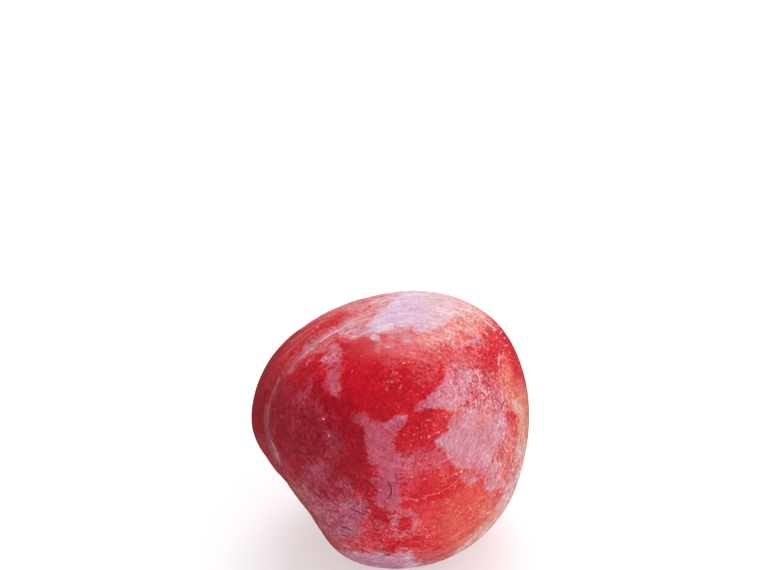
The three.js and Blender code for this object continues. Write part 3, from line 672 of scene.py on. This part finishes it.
# Fine lines: (points, half width px, strength)
PALE_LINES = [  # the last number is 0 for pink orange, 1 for nearly white
    ([(280, 379), (275.5, 388), (271.5, 397), (269, 406), (267.6, 416), (267.4, 427), (268.8, 438), (272, 447),
      (276, 456), (280, 464)], 1.6, 0.09, 0.8),
    ([(279.5, 377), (276.5, 385), (272.5, 393), (269.5, 402), (268, 409)], 0.8, 0.30, 0.8),
    ([(268, 409), (267.6, 418), (268, 428), (269.5, 437)], 1.0, 0.20, 0.9),
    ([(269.5, 437), (272.5, 444), (276, 450), (278.5, 458)], 0.8, 0.34, 1),
    ([(267, 432), (270, 443), (273, 452), (274, 459)], 0.6, 0.18, 0.9),
    ([(277, 387), (275.5, 393), (274, 400)], 0.7, 0.16, 0.6),
    ([(283, 358), (291, 349), (300, 341), (309, 334)], 0.6, 0.20, 0.5),
    ([(288, 363), (297, 353), (305, 345), (313, 339)], 0.5, 0.16, 0.4),
    ([(292, 342), (301, 334.5), (312, 327.5), (322, 322)], 0.6, 0.30, 0.6),
    ([(279, 366), (283, 372), (284.5, 377)], 0.6, 0.20, 0.3),
    ([(304, 354), (310, 348), (317, 342.5), (326, 337.5), (334, 333.5)], 0.8, 0.45, 0.85),
    ([(289, 373), (295, 364), (302, 357)], 0.7, 0.14, 0.6),
    ([(300, 359), (306, 353.5), (312, 349.5), (320, 345)], 0.7, 0.32, 0.7),
    ([(292, 373), (299, 364), (307, 357), (316, 351)], 0.6, 0.16, 0.4),
    ([(305, 342), (314, 335), (323, 330.5), (332, 327)], 0.7, 0.30, 0.7),
    ([(294, 352), (302, 343.5), (311, 336)], 0.7, 0.10, 0.5),
    ([(283, 370), (289, 361), (297, 352), (305, 345.5)], 0.7, 0.10, 0.5),
    ([(344, 308.5), (336, 312.5), (328, 317), (320, 322.5)], 0.8, 0.35, 0.7),
    ([(321, 341), (328, 336), (336, 332), (341, 329.5)], 1.0, 0.55, 1),
    ([(325, 346), (332, 341), (338, 337), (348, 336)], 0.8, 0.40, 0.3),
    # painted reflection: two near-white strokes along the cream streak inside the upper right edge
    ([(469, 309.5), (478, 314), (485, 318.5)], 0.8, 0.60, 1),
    ([(474, 314), (482, 319), (489, 324), (494, 328)], 0.9, 0.50, 0.8),
    ([(500, 356), (499, 364), (499, 373), (500.5, 384), (504, 394), (509, 401)], 0.9, 0.24, 0.8),
    ([(486, 371), (490, 378), (495, 386), (501, 393)], 0.8, 0.15, 0.8),
    ([(499.2, 353), (498.2, 357), (498.6, 361.5)], 0.7, 0.55, 0.9),
    ([(503.4, 352.5), (502.7, 357)], 0.7, 0.50, 0.9),
    ([(374, 305), (384, 301), (396, 298), (410, 296)], 0.6, 0.35, 1),
    ([(350, 322), (362, 314), (374, 307), (386, 303)], 0.7, 0.25, 1),
    ([(343, 327), (354, 320), (366, 315), (378, 311)], 0.6, 0.30, 1),
    ([(337, 331), (346, 326), (356, 322), (366, 319)], 0.5, 0.35, 1),
    ([(341, 318), (352, 312), (364, 307), (376, 302)], 0.5, 0.30, 0.8),
    ([(405, 499.3), (410, 499.6), (417, 500.2)], 0.6, 0.80, 0.3),
    ([(402, 496.5), (408, 497.5), (416, 498.4), (426, 498)], 0.5, 0.35, 0.1),
    ([(425, 496), (434, 494.6), (440, 492.5), (446, 489), (452, 485.5), (458, 480)], 0.7, 0.34, 0.1),
    ([(428, 438), (433, 434.5), (439, 431.5), (446, 429)], 0.6, 0.55, 0.1),
    ([(421, 424), (428, 419.5), (436, 416), (443, 413.5)], 0.5, 0.30, 0.0),
    ([(441, 481), (449, 477), (455, 474), (459, 471.5)], 0.6, 0.40, 0.2),
    ([(402, 541), (407, 538), (413, 535.5), (419, 534.5), (430, 535.5)], 0.9, 0.28, 0.2),
    ([(404, 545), (414, 542), (424, 541), (432, 541)], 0.9, 0.16, 0.2),
    ([(443, 447), (440, 442.5), (436, 440)], 0.6, 0.30, 0.5),
    ([(408, 466), (409.5, 460), (411, 456)], 0.6, 0.35, 0.4),
    ([(412, 467), (413, 461), (413.5, 456)], 0.5, 0.32, 0.4),
    ([(360, 506), (361.5, 500), (362, 496)], 0.7, 0.35, 0.2),
    ([(352, 494), (351, 489), (349, 485)], 0.6, 0.35, 0.4),
    ([(410, 437), (417, 433), (424, 430)], 0.5, 0.25, 0.0),
    ([(411, 415), (408, 421), (403, 425), (398, 430), (395, 436), (394, 442)], 0.5, 0.30, 0.2),
    ([(446, 452), (451, 456), (454, 462)], 0.5, 0.25, 0.5),
    ([(503, 444), (507, 450), (509, 458)], 0.6, 0.40, 0.3),
    ([(508, 430), (511, 440), (512, 450), (511, 462)], 0.6, 0.45, 0.7),
    ([(516, 418), (519, 432), (519, 446), (516, 460)], 0.8, 0.45, 0.9),
    ([(506, 470), (501, 478), (496, 484)], 0.6, 0.35, 0.6),
    ([(494, 508), (502, 499), (509, 489)], 0.7, 0.40, 0.8),
    ([(466, 526), (476, 519), (486, 512)], 0.5, 0.25, 0.4),
    ([(452, 537), (464, 531), (476, 523)], 0.5, 0.25, 0.4),
    ([(395, 405), (401, 402)], 0.5, 0.20, 0.2),
]
DARK_LINES = [
    ([(388, 482), (390.3, 485.5), (391.5, 490), (390.8, 494.5), (390, 497.5)], 1.1, 1.0),
    ([(395.5, 475), (397, 479), (397.3, 483)], 1.0, 1.0),
    ([(377, 472.5), (380, 476), (382.5, 479.5)], 0.9, 0.9),
    ([(384.5, 500.5), (386, 504), (385, 508)], 0.9, 0.9),
    ([(343, 527), (346.5, 528), (350, 530)], 1.1, 1.0),
    ([(352, 509.5), (357, 511), (361.5, 513.5)], 1.0, 0.9),
    ([(389, 520.5), (392, 518), (394, 517)], 1.0, 0.75),
    ([(376, 551), (382, 552.5), (388, 554)], 0.8, 0.60),
    ([(413, 559), (417, 561.5), (425, 562.5), (438, 560.5)], 0.6, 0.50),
    ([(503.4, 402.5), (502.5, 405), (501.4, 408)], 1.2, 0.8),
    ([(493.3, 458), (492.8, 460), (492.6, 462.5)], 0.8, 0.70),
    ([(408, 418.5), (404, 423), (399, 426.5), (394, 429.5)], 0.5, 0.45),
    ([(365, 333.5), (373, 332.8), (381, 334.5), (388, 335), (393, 334), (400, 332.6), (406, 332), (412, 333),
      (417, 335.5)], 0.6, 0.34),
    ([(334, 334), (342, 331), (350, 328.5), (359, 328.5), (366, 331)], 0.5, 0.12),
    ([(317, 346), (324, 341.5), (331, 337.5)], 0.5, 0.26),
    ([(308, 350), (315, 344), (323, 339.5)], 0.4, 0.22),
    ([(401, 305.5), (406, 305)], 0.6, 0.25),
    ([(392, 323), (397, 322), (400, 322.5)], 0.5, 0.22),
    ([(358, 500.5), (358, 504.5)], 0.9, 0.8),
    ([(381, 427), (383, 427)], 1.2, 0.40),
    ([(391, 442), (391.5, 444)], 0.9, 0.45),
    ([(491, 431), (492, 436)], 0.5, 0.25),
    ([(288, 436), (290.5, 443), (294, 448)], 1.2, 0.42),
    ([(297, 451), (301, 453.5), (304, 454)], 1.6, 0.70),
    ([(306.5, 454.3), (311, 453.5), (313.5, 452)], 1.5, 0.62),
    ([(315.5, 450.5), (317.5, 447), (318, 443)], 1.1, 0.42),
    ([(296, 438), (301, 436), (306, 439)], 0.9, 0.50),
    ([(299, 447), (303, 443.5), (308, 446), (311, 451)], 0.9, 0.50),
    ([(312, 448), (316, 444.5)], 0.9, 0.50),
    ([(345, 482), (349, 487), (351, 494)], 0.8, 0.55),
    ([(339, 486), (343, 491), (344, 497)], 0.7, 0.45),
    ([(351, 476), (354, 480), (354, 485)], 0.7, 0.50),
    ([(372, 480), (374, 484), (373, 489)], 0.8, 0.60),
    ([(366, 486), (368, 490)], 0.8, 0.50),
    ([(370, 470), (371, 475), (369, 480)], 0.7, 0.45),
    ([(376, 497), (373, 501), (368, 503)], 0.7, 0.50),
    ([(391, 505), (387, 509), (381, 510)], 0.7, 0.50),
    ([(441, 447), (438, 452), (437, 458)], 0.6, 0.35),
    ([(281, 402), (284, 412), (287, 424)], 0.8, 0.15),
    ([(263.5, 404), (262.5, 418), (264, 434), (268, 450)], 1.2, 0.15),
]


def stroke_fields(lines):
    """Signed distance over half width, distance to the line's ends and body, and strength."""
    s_all, d_all = np.full((2, len(px)), 9.0)
    a_all, kind_all = np.zeros((2, len(px)))
    for pts, half, a, *kind in lines:
        pts = np.asarray(pts, float)
        some = near(pts, 9)
        x, y = px[some], py[some]
        best = np.full(len(some), 9.0)
        signed = np.full(len(some), 9.0)
        for (x0, y0), (x1, y1) in zip(pts[:-1], pts[1:]):
            dx, dy = x1 - x0, y1 - y0
            n = math.hypot(dx, dy)
            t = np.clip(((x - x0) * dx + (y - y0) * dy) / (n * n), 0, 1)
            d = np.hypot(x - x0 - t * dx, y - y0 - t * dy)
            side = ((x - x0) * dy - (y - y0) * dx) / n
            signed = np.where(d < best, side, signed)
            best = np.minimum(best, d)
        m = best / half < d_all[some]
        i = some[m]
        s_all[i], d_all[i], a_all[i] = (signed / half)[m], (best / half)[m], a
        kind_all[i] = kind[0] if kind else 0
    return np.clip(s_all, -9, 9), np.clip(d_all, 0, 9), a_all * smooth(facing, 0.10, 0.28), kind_all


pale_s, pale_d, pale_a, pale_kind = stroke_fields(PALE_LINES)
dark_s, dark_d, dark_a, _ = stroke_fields(DARK_LINES)

stem_deg = from_stem_deg(u)
line_mm = across_mm(u)
reach = suture_reach(u)
east = unit(np.cross(STEM, SIDE))
lon = np.arctan2(u @ east, u @ SIDE)


def attribute(name, values):
    a = me.attributes.new(name, "FLOAT", "POINT")
    a.data.foreach_set("value", np.asarray(values, np.float32))


def vector_attribute(name, values):
    a = me.attributes.new(name, "FLOAT_VECTOR", "POINT")
    a.data.foreach_set("vector", np.asarray(values, np.float32).ravel())


for name, values in (
    ("bloom_edge", edge), ("bloom_amount", amount), ("bloom_softness", softness), ("bloom_fray", fray),
    ("bloom_tint", tint), ("bloom_pits", pits), ("bloom_strands", strands), ("wash", wash), ("wash_tint", wash_tint),
    ("wash_pits", wash_pits), ("wash_strands", wash_strands), ("rub", rub), ("matt", matt), ("rub_spot", spot),
    ("ripeness_and_shade", ripe_and_shade), ("dot_share", dots), ("flecks", flecks), ("curls", curls), ("dot_strength", dot_kind[:, 0]),
    ("dot_gold", dot_kind[:, 1]), ("pale_s", pale_s), ("pale_d", pale_d), ("pale_a", pale_a), ("pale_kind", pale_kind),
    ("dark_s", dark_s), ("dark_d", dark_d), ("dark_a", dark_a), ("stem_deg", stem_deg), ("line_mm", line_mm),
    ("line_reach", reach * far), ("crest", gauss((line_mm - 2) / 8) * reach),
):
    attribute(name, values)
vector_attribute("dot_at", dot_at)
# millimetres: across the meridians twice, then along them
vector_attribute("grain", np.stack([np.cos(lon) * 30, np.sin(lon) * 30, np.radians(stem_deg) * 30], 1))
# brushed rings round the middle of the front: two across, then outwards
mid = u[np.argmin(np.hypot(px - 405, py - 404) + 1e6 * (facing < 0.2))]
ring_e = unit(np.cross(mid, [0, 0, 1.0]))
ring_n = np.cross(ring_e, mid)
vector_attribute("rings", np.stack([u @ ring_e * 30, u @ ring_n * 30, np.arccos(np.clip(u @ mid, -1, 1)) * 30], 1))

# ------------------------------------------------------------------ the skin's material
mat = bpy.data.materials.new("plum_skin")
mat.use_nodes = True
tree = mat.node_tree
bsdf = tree.nodes["Principled BSDF"]


def node(kind, **settings):
    n = tree.nodes.new(kind)
    for k, v in settings.items():
        setattr(n, k, v)
    return n


def wire(value, socket):
    if isinstance(value, bpy.types.NodeSocket):
        tree.links.new(value, socket)
    elif value is not None:
        socket.default_value = value


def attr(name):
    return node("ShaderNodeAttribute", attribute_name=name).outputs["Fac"]


def attr_vector(name):
    return node("ShaderNodeAttribute", attribute_name=name).outputs["Vector"]


def math_(op, a, b=None, c=None, clamp=False):
    n = node("ShaderNodeMath", operation=op, use_clamp=clamp)
    wire(a, n.inputs[0]); wire(b, n.inputs[1]); wire(c, n.inputs[2])
    return n.outputs[0]


def add(a, b): return math_("ADD", a, b)
def sub(a, b): return math_("SUBTRACT", a, b)
def mul(a, b, clamp=False): return math_("MULTIPLY", a, b, clamp=clamp)


def ramp01(value, lo, hi, kind="SMOOTHSTEP"):
    n = node("ShaderNodeMapRange", interpolation_type=kind, clamp=True)
    wire(value, n.inputs["Value"]); wire(lo, n.inputs["From Min"]); wire(hi, n.inputs["From Max"])
    return n.outputs["Result"]


def mix(fac, a, b, blend="MIX"):
    n = node("ShaderNodeMix", data_type="RGBA", blend_type=blend)
    n.clamp_factor = True
    wire(fac, n.inputs[0])
    for value, socket in ((a, n.inputs[6]), (b, n.inputs[7])):
        if isinstance(value, tuple):
            value = (*value, 1) if len(value) == 3 else value
        wire(value, socket)
    return n.outputs[2]


def noise(vector, scale, detail=2.0, rough=0.5, distortion=0.0):
    n = node("ShaderNodeTexNoise", noise_dimensions="3D")
    wire(vector, n.inputs["Vector"])
    n.inputs["Scale"].default_value = scale
    n.inputs["Detail"].default_value = detail
    n.inputs["Roughness"].default_value = rough
    n.inputs["Distortion"].default_value = distortion
    return n.outputs["Fac"]


def voronoi(vector, scale, output="Distance", feature="F1", randomness=1.0):
    n = node("ShaderNodeTexVoronoi", voronoi_dimensions="3D", feature=feature)
    wire(vector, n.inputs["Vector"])
    n.inputs["Scale"].default_value = scale
    n.inputs["Randomness"].default_value = randomness
    return n.outputs[output]


def stretched(vector, xyz, offset=(0, 0, 0), turn=(0, 0, 0)):
    n = node("ShaderNodeMapping")
    wire(vector, n.inputs["Vector"])
    n.inputs["Scale"].default_value = xyz
    n.inputs["Location"].default_value = offset
    n.inputs["Rotation"].default_value = turn
    return n.outputs["Vector"]


def colour_ramp(value, stops):
    n = node("ShaderNodeValToRGB")
    wire(value, n.inputs["Fac"])
    el = n.color_ramp.elements
    while len(el) < len(stops):
        el.new(0.5)
    for e, (pos, col) in zip(el, stops):
        e.position = pos
        e.color = (*col, 1)
    return n.outputs["Color"]


obj = node("ShaderNodeTexCoord").outputs["Object"]  # metres
grain = attr_vector("grain")
rings = attr_vector("rings")

n6 = noise(stretched(obj, (1, 1, 1), (3, 1, 7)), 170, 2.0, 0.5)      # ~6 mm
n3 = noise(stretched(obj, (1, 1, 1), turn=(0.5, 0.3, 0.8)), 330, 3.0, 0.55, 0.4)      # ~3 mm
n3s = noise(stretched(obj, (1, 1, 1), (4, 9, 2), (0.9, 0.4, 0.2)), 380, 0.6, 0.5, 0.3)
n1 = noise(stretched(obj, (1, 1, 1), turn=(0.7, 1.1, 0.4)), 900, 2.0, 0.55, 0.6)       # ~1 mm
n1b = noise(stretched(obj, (1, 1, 1), (5, 2, 9), (0.4, 0.9, 0.6)), 1250, 1.5, 0.55, 0.8)
n04 = noise(stretched(obj, (1, 1, 1), turn=(1.2, 0.5, 0.9)), 1750, 1.5, 0.55, 0.5)    # ~0.6 mm
n04b = noise(stretched(obj, (1, 1, 1), (8, 4, 2), (0.3, 0.7, 1.3)), 2300, 1.0, 0.5, 0.6)
fine_rings = noise(stretched(rings, (0.16, 0.16, 2.0)), 1.0, 2.0, 0.6, 0.3)
wide_rings = noise(stretched(rings, (0.07, 0.07, 0.6), (4, 4, 4)), 1.0, 2.0, 0.5, 0.3)
join = node("ShaderNodeCombineXYZ")
wire(attr("line_mm"), join.inputs[0]); wire(attr("stem_deg"), join.inputs[1])
crest_lines = noise(stretched(join.outputs[0], (1.9, 0.045, 1)), 1.0, 2.0, 0.6, 0.2)
crest_ = attr("crest")
streak_wide = noise(stretched(grain, (0.55, 0.55, 0.045), (7, 3, 1)), 1.0, 2.0, 0.5)


def between(fac, a, b):
    """a where fac is 0, b where it is 1."""
    n = node("ShaderNodeMix", data_type="FLOAT")
    wire(fac, n.inputs[0]); wire(a, n.inputs[2]); wire(b, n.inputs[3])
    return n.outputs[0]


def around(value, gain):
    """A noise value as a signed swing about nought."""
    return mul(sub(value, 0.5), gain)


def mul_colour(colour, value):
    """A colour made lighter or darker by a factor."""
    n = node("ShaderNodeVectorMath", operation="SCALE")
    wire(colour, n.inputs[0]); wire(value, n.inputs["Scale"])
    return n.outputs[0]


streak = between(crest_, fine_rings, crest_lines)


def specks(vector, scale, share_value, small, large):
    """Round specks whose size follows the share; each gives 1 at its middle."""
    size = add(mul(share_value, large - small), small)
    return ramp01(voronoi(vector, scale), size, mul(size, 0.4))


# where the film lies; over the top and along the crest of the suture it is partly a painted highlight, and some washes
# are painted rim reflections
swing = add(add(around(n3s, 5.5), around(n1, 3.0)), add(around(n04, 2.4), around(streak, 2.4)))
e = add(attr("bloom_edge"), mul(swing, attr("bloom_fray")))
soft = mul(attr("bloom_softness"), 1.8)
mask = ramp01(e, mul(soft, -1.0), soft)
share_ = attr("dot_share")
flecks_ = attr("flecks")
tone = add(add(around(n6, 0.35), around(n3, 0.35)), add(around(n1, 0.25), add(around(n04, 0.45), around(streak, 0.35))))
strand_cut = ramp01(streak, 0.56, 0.42)
pit_cut = math_("MAXIMUM", ramp01(n1b, 0.52, 0.34), mul(ramp01(n04b, 0.50, 0.36), 0.6))
film = mul(mask, attr("bloom_amount"))
uneven = add(0.62, mul(attr("bloom_pits"), 0.75))
film = mul(film, add(1.0, mul(mul(tone, uneven), sub(2.3, mul(attr("bloom_amount"), 1.6)))))
film = mul(film, sub(1.0, mul(strand_cut, mul(attr("bloom_strands"), 0.75))))
film = mul(film, sub(1.0, mul(pit_cut, mul(attr("bloom_pits"), 0.85))))
wash_ = mul(attr("wash"), add(1.0, mul(tone, 4.0)))
wash_ = mul(wash_, sub(1.15, mul(strand_cut, attr("wash_strands"))))
wash_ = mul(wash_, sub(1.15, mul(pit_cut, attr("wash_pits"))))
wash_ = math_("MAXIMUM", wash_, 0.0)
matt_ = attr("matt")
veil = mul(mul(ramp01(n3, 0.42, 0.75), ramp01(n1, 0.40, 0.70)), mul(matt_, 0.05))
clear = sub(1.0, mul(sub(1.0, film), mul(sub(1.0, wash_), sub(1.0, veil))))
film = mul(clear, sub(1.0, mul(attr("rub"), add(0.85, around(n1, 0.9)))))
film = add(film, mul(add(around(n04, 0.08), around(n1b, 0.04)), sub(add(0.45, mul(matt_, 0.25)), mul(mask, 0.35))))
film = math_("MAXIMUM", film, 0.0)
tint_ = between(mask, attr("wash_tint"), attr("bloom_tint"))
film_colour = colour_ramp(add(tint_, add(around(n3, 0.22), around(n6, 0.45))), [
    (0.00, (0.68, 0.44, 0.72)),
    (0.33, (0.68, 0.58, 0.70)),
    (0.66, (0.72, 0.57, 0.60)),
    (1.00, (0.77, 0.60, 0.49)),
])

# ground colour, with painted shade in the dark crimson of the left side
ripeness_and_shade = add(attr("ripeness_and_shade"), around(n3, 0.22))
ripeness_and_shade = add(ripeness_and_shade, around(wide_rings, 0.22))
ripeness_and_shade = add(ripeness_and_shade, around(streak_wide, 0.14))
ripeness_and_shade = add(ripeness_and_shade, around(n1, add(0.08, mul(flecks_, 0.30))))
ripeness_and_shade = add(ripeness_and_shade, around(n04, add(0.05, mul(flecks_, 0.35))))
skin = colour_ramp(ripeness_and_shade, [
    (0.00, (0.345, 0.002, 0.013)),
    (0.20, (0.44, 0.002, 0.013)),
    (0.36, (0.60, 0.002, 0.014)),
    (0.50, (0.66, 0.012, 0.026)),
    (0.62, (0.70, 0.036, 0.044)),
    (0.75, (0.72, 0.080, 0.062)),
    (0.88, (0.73, 0.138, 0.095)),
    (1.00, (0.76, 0.275, 0.168)),
])
dark_fleck = mul(ramp01(n1b, 0.44, 0.30), flecks_)
skin = mix(mul(dark_fleck, 0.55), skin, (0.30, 0.004, 0.016))
curl = ramp01(math_("ABSOLUTE", sub(noise(stretched(obj, (1, 1, 0.55), (2, 6, 1)), 520, 1.0, 0.5, 0.8), 0.5)), 0.040, 0.010)
curl = mul(mul(curl, ramp01(n3s, 0.48, 0.58)), attr("curls"))

# tiny pale dots and short dashes
fine = specks(obj, 1500, share_, 0.16, 0.40)
medium = specks(stretched(obj, (1, 1, 1), (0.31, 0.17, 0.53)), 760, share_, 0.06, 0.24)
bright = specks(stretched(obj, (1, 1, 1), (0.77, 0.41, 0.13)), 430, share_, 0.05, 0.15)
present = ramp01(share_, 0.02, 0.45)
clump = add(0.45, mul(ramp01(n6, 0.38, 0.60), 0.55))
lent = math_("MAXIMUM", mul(fine, mul(clump, 0.50)), mul(medium, mul(clump, 0.85)))
lent = math_("MAXIMUM", lent, mul(bright, 0.95))
lent = mul(lent, present)
lent = mul(lent, add(1.0, mul(ramp01(share_, 0.75, 1.0), 0.45)), clamp=True)
dot_colour = colour_ramp(ripeness_and_shade, [(0.1, (0.66, 0.09, 0.11)), (0.45, (0.90, 0.125, 0.135)), (0.8, (0.98, 0.32, 0.20)), (1.0, (0.98, 0.50, 0.33))])
dot_colour = mix(mul(ramp01(share_, 0.78, 1.0), 0.65), dot_colour, (0.96, 0.44, 0.38))
skin = mix(mul(lent, 0.9), skin, dot_colour)

colour = mix(film, skin, film_colour)
colour = mix(mul(mul(lent, film), 0.5), colour, (0.90, 0.50, 0.46))
# light and dark grain over everything, and short curled cracks
value = add(add(around(n1, 0.45), around(n04, 0.75)), add(around(streak, 0.30), around(n3, 0.20)))
colour = mul_colour(colour, add(1.0, mul(value, add(0.62, mul(flecks_, 1.6)))))
colour = mix(mul(curl, 0.60), colour, (0.24, 0.006, 0.020))

# the rub mark
spot_ = attr("rub_spot")
colour = mix(mul(mul(spot_, ramp01(n1, 0.58, 0.44)), 0.70), colour, (0.27, 0.018, 0.010))
tan = specks(obj, 700, spot_, 0.05, 0.34)
colour = mix(mul(mul(tan, spot_), 0.85), colour, (0.70, 0.15, 0.13))

# single dots
length = node("ShaderNodeVectorMath", operation="LENGTH")
wire(attr_vector("dot_at"), length.inputs[0])
single = mul(ramp01(add(length.outputs["Value"], around(n04, 0.8)), 1.0, 0.25), attr("dot_strength"))
gold_ = attr("dot_gold")
single_colour = mix(mul(gold_, gold_), (0.96, 0.19, 0.22), (1.0, 0.50, 0.26))
single_colour = mix(mul(gold_, -1.0), mix(ramp01(gold_, -0.3, 0.0), (0.96, 0.19, 0.22), single_colour), (1.0, 0.76, 0.77))
colour = mix(mul(single, 0.88), colour, single_colour)

# suture line out of sight of the drawn lines: a pale welt with a thin dark line in it
line = attr("line_mm")
reach_ = attr("line_reach")
off = math_("ABSOLUTE", add(line, around(n3, 0.5)))
welt = mul(ramp01(off, 0.75, 0.15), mul(reach_, add(0.4, mul(ramp01(crest_lines, 0.40, 0.60), 0.6))))
hair = mul(ramp01(off, 0.20, 0.04), reach_)
colour = mix(mul(welt, 0.35), colour, (0.66, 0.30, 0.36))
colour = mix(mul(hair, 0.40), colour, (0.16, 0.01, 0.02))

# corky scar where the stalk came off, and the tiny scar opposite
from_stem = attr("stem_deg")
cork = ramp01(add(from_stem, around(n1, 1.6)), 5.6, 4.4)
rim = mul(ramp01(add(from_stem, around(n3, 3.0)), 11.0, 5.0), 0.55)
colour = mix(rim, colour, (0.38, 0.10, 0.05))
colour = mix(cork, colour, mix(n1b, (0.12, 0.040, 0.021), (0.42, 0.18, 0.105)))
tip = ramp01(add(from_stem, around(n04, 0.5)), 178.4, 179.2)
colour = mix(mul(tip, 0.35), colour, (0.50, 0.26, 0.20))

# drawn lines
broken = add(0.35, mul(ramp01(n1, 0.36, 0.56), 0.65))
pale_line = mul(ramp01(math_("ABSOLUTE", attr("pale_s")), 1.15, 0.25), ramp01(attr("pale_d"), 1.7, 1.0))
pale_colour = mix(attr("pale_kind"), (0.96, 0.25, 0.20), (0.86, 0.60, 0.58))
colour = mix(mul(mul(pale_line, broken), attr("pale_a")), colour, pale_colour)
dark_line = mul(ramp01(math_("ABSOLUTE", attr("dark_s")), 1.15, 0.3), ramp01(attr("dark_d"), 1.7, 1.0))
colour = mix(mul(mul(dark_line, broken), attr("dark_a")), colour, (0.19, 0.005, 0.018))

wire(colour, bsdf.inputs["Base Color"])
rough = add(0.27, mul(matt_, 0.14))
rough = add(rough, mul(film, 0.40))
rough = add(rough, mul(cork, 0.4))
rough = add(rough, around(n04, 0.08))
wire(rough, bsdf.inputs["Roughness"])
bsdf.inputs["Specular IOR Level"].default_value = 0.18
bump = node("ShaderNodeBump")
bump.inputs["Strength"].default_value = 0.3
bump.inputs["Distance"].default_value = 0.0001
wire(add(mul(n04, 0.4), mul(lent, 0.4)), bump.inputs["Height"])
wire(bump.outputs["Normal"], bsdf.inputs["Normal"])
me.materials.append(mat)

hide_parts("plum")
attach(plum, "root")

# ------------------------------------------------------------------ stage and light
bpy.ops.mesh.primitive_plane_add(size=8, location=(0, 0, 0))
floor = bpy.context.object
floor.name = "floor"
fm = bpy.data.materials.new("floor")
fm.use_nodes = True
fb = fm.node_tree.nodes["Principled BSDF"]
fb.inputs["Base Color"].default_value = (0.62, 0.62, 0.625, 1)
fb.inputs["Emission Color"].default_value = (1, 1, 1, 1)
fb.inputs["Roughness"].default_value = 0.9
fb.inputs["Specular IOR Level"].default_value = 0.1
# in reflections the table is dim close by, as if other fruit stood round about
ft = fm.node_tree
# the table glows by emission, less near the fruit and more outwards, so that it meets the white sweep without an edge;
# the glow lightens the contact shadow
out = ft.nodes.new("ShaderNodeVectorMath")
out.operation = "LENGTH"
ft.links.new(ft.nodes.new("ShaderNodeTexCoord").outputs["Object"], out.inputs[0])
glow = ft.nodes.new("ShaderNodeMapRange")
glow.interpolation_type = "SMOOTHSTEP"
ft.links.new(out.outputs["Value"], glow.inputs["Value"])
for name, v in (("From Min", 0.15), ("From Max", 1.3), ("To Min", 0.44), ("To Max", 1.0)):
    glow.inputs[name].default_value = v
ft.links.new(glow.outputs["Result"], fb.inputs["Emission Strength"])
dim = ft.nodes.new("ShaderNodeEmission")
dim.inputs["Color"].default_value = (1.0, 0.95, 0.96, 1)
spot_at = ft.nodes.new("ShaderNodeSeparateXYZ")
ft.links.new(ft.nodes.new("ShaderNodeTexCoord").outputs["Object"], spot_at.inputs[0])
back = ft.nodes.new("ShaderNodeMapRange")
back.interpolation_type = "SMOOTHSTEP"
ft.links.new(spot_at.outputs["Y"], back.inputs["Value"])
for name, v in (("From Min", 0.12), ("From Max", 0.50), ("To Min", 0.09), ("To Max", 0.8)):
    back.inputs[name].default_value = v
ft.links.new(back.outputs["Result"], dim.inputs["Strength"])
shade = ft.nodes.new("ShaderNodeMixShader")
ft.links.new(ft.nodes.new("ShaderNodeLightPath").outputs["Is Glossy Ray"], shade.inputs[0])
ft.links.new(fb.outputs[0], shade.inputs[1])
ft.links.new(dim.outputs[0], shade.inputs[2])
ft.links.new(shade.outputs[0], ft.nodes["Material Output"].inputs["Surface"])
floor.data.materials.append(fm)

world = bpy.data.worlds.new("studio")
bpy.context.scene.world = world
world.use_nodes = True
wt = world.node_tree
bg = wt.nodes["Background"]
coord = wt.nodes.new("ShaderNodeTexCoord").outputs["Generated"]


def world_dot(direction):
    n = wt.nodes.new("ShaderNodeVectorMath")
    n.operation = "DOT_PRODUCT"
    wt.links.new(coord, n.inputs[0])
    n.inputs[1].default_value = unit(direction)
    return n.outputs["Value"]


def world_range(value, a, b, lo, hi):
    n = wt.nodes.new("ShaderNodeMapRange")
    n.interpolation_type = "SMOOTHSTEP"
    wt.links.new(value, n.inputs["Value"])
    n.inputs["From Min"].default_value, n.inputs["From Max"].default_value = a, b
    n.inputs["To Min"].default_value, n.inputs["To Max"].default_value = lo, hi
    return n.outputs["Result"]


def world_math(op, a, b):
    n = wt.nodes.new("ShaderNodeMath")
    n.operation = op
    for v, s in ((a, n.inputs[0]), (b, n.inputs[1])):
        if isinstance(v, bpy.types.NodeSocket):
            wt.links.new(v, s)
        else:
            s.default_value = v
    return n.outputs[0]


# bright white sweep behind and to the right, dim room towards the camera and the left
lit = world_math("ADD", world_range(world_dot((0.20, 0.90, 0.25)), 0.2, 1.0, 0.36, 1.10),
                 world_range(world_dot((0.78, -0.60, 0.10)), -0.3, 1.0, 0.0, 0.86))
rays = wt.nodes.new("ShaderNodeLightPath").outputs
# in reflections the sweep is dimmer too
lit = world_math("MULTIPLY", lit, world_math("SUBTRACT", 1.0, world_math("MULTIPLY", rays["Is Glossy Ray"], 0.66)))
pick = wt.nodes.new("ShaderNodeMix")
pick.data_type = "FLOAT"
wt.links.new(rays["Is Camera Ray"], pick.inputs[0])
wt.links.new(lit, pick.inputs[2])
pick.inputs[3].default_value = 1.08
wt.links.new(pick.outputs[0], bg.inputs["Strength"])
bg.inputs["Color"].default_value = (0.97, 0.98, 1.0, 1)


def area(name, direction, distance, size, power, colour=(1, 1, 1)):
    data = bpy.data.lights.new(name, "AREA")
    data.shape = "RECTANGLE"
    data.size, data.size_y = size
    data.energy = power
    data.color = colour
    ob = bpy.data.objects.new(name, data)
    bpy.context.collection.objects.link(ob)
    d = Vector(direction).normalized()
    ob.location = Vector((0, 0, 0.03)) + d * distance
    ob.rotation_euler = d.to_track_quat("Z", "Y").to_euler()
    return ob


area("key", (0.02, 0.60, 0.78), 0.9, (0.56, 0.44), 3.6)

vs = bpy.context.scene.view_settings
vs.view_transform = "Standard"
vs.look = "None"
vs.exposure = 0
vs.gamma = 1
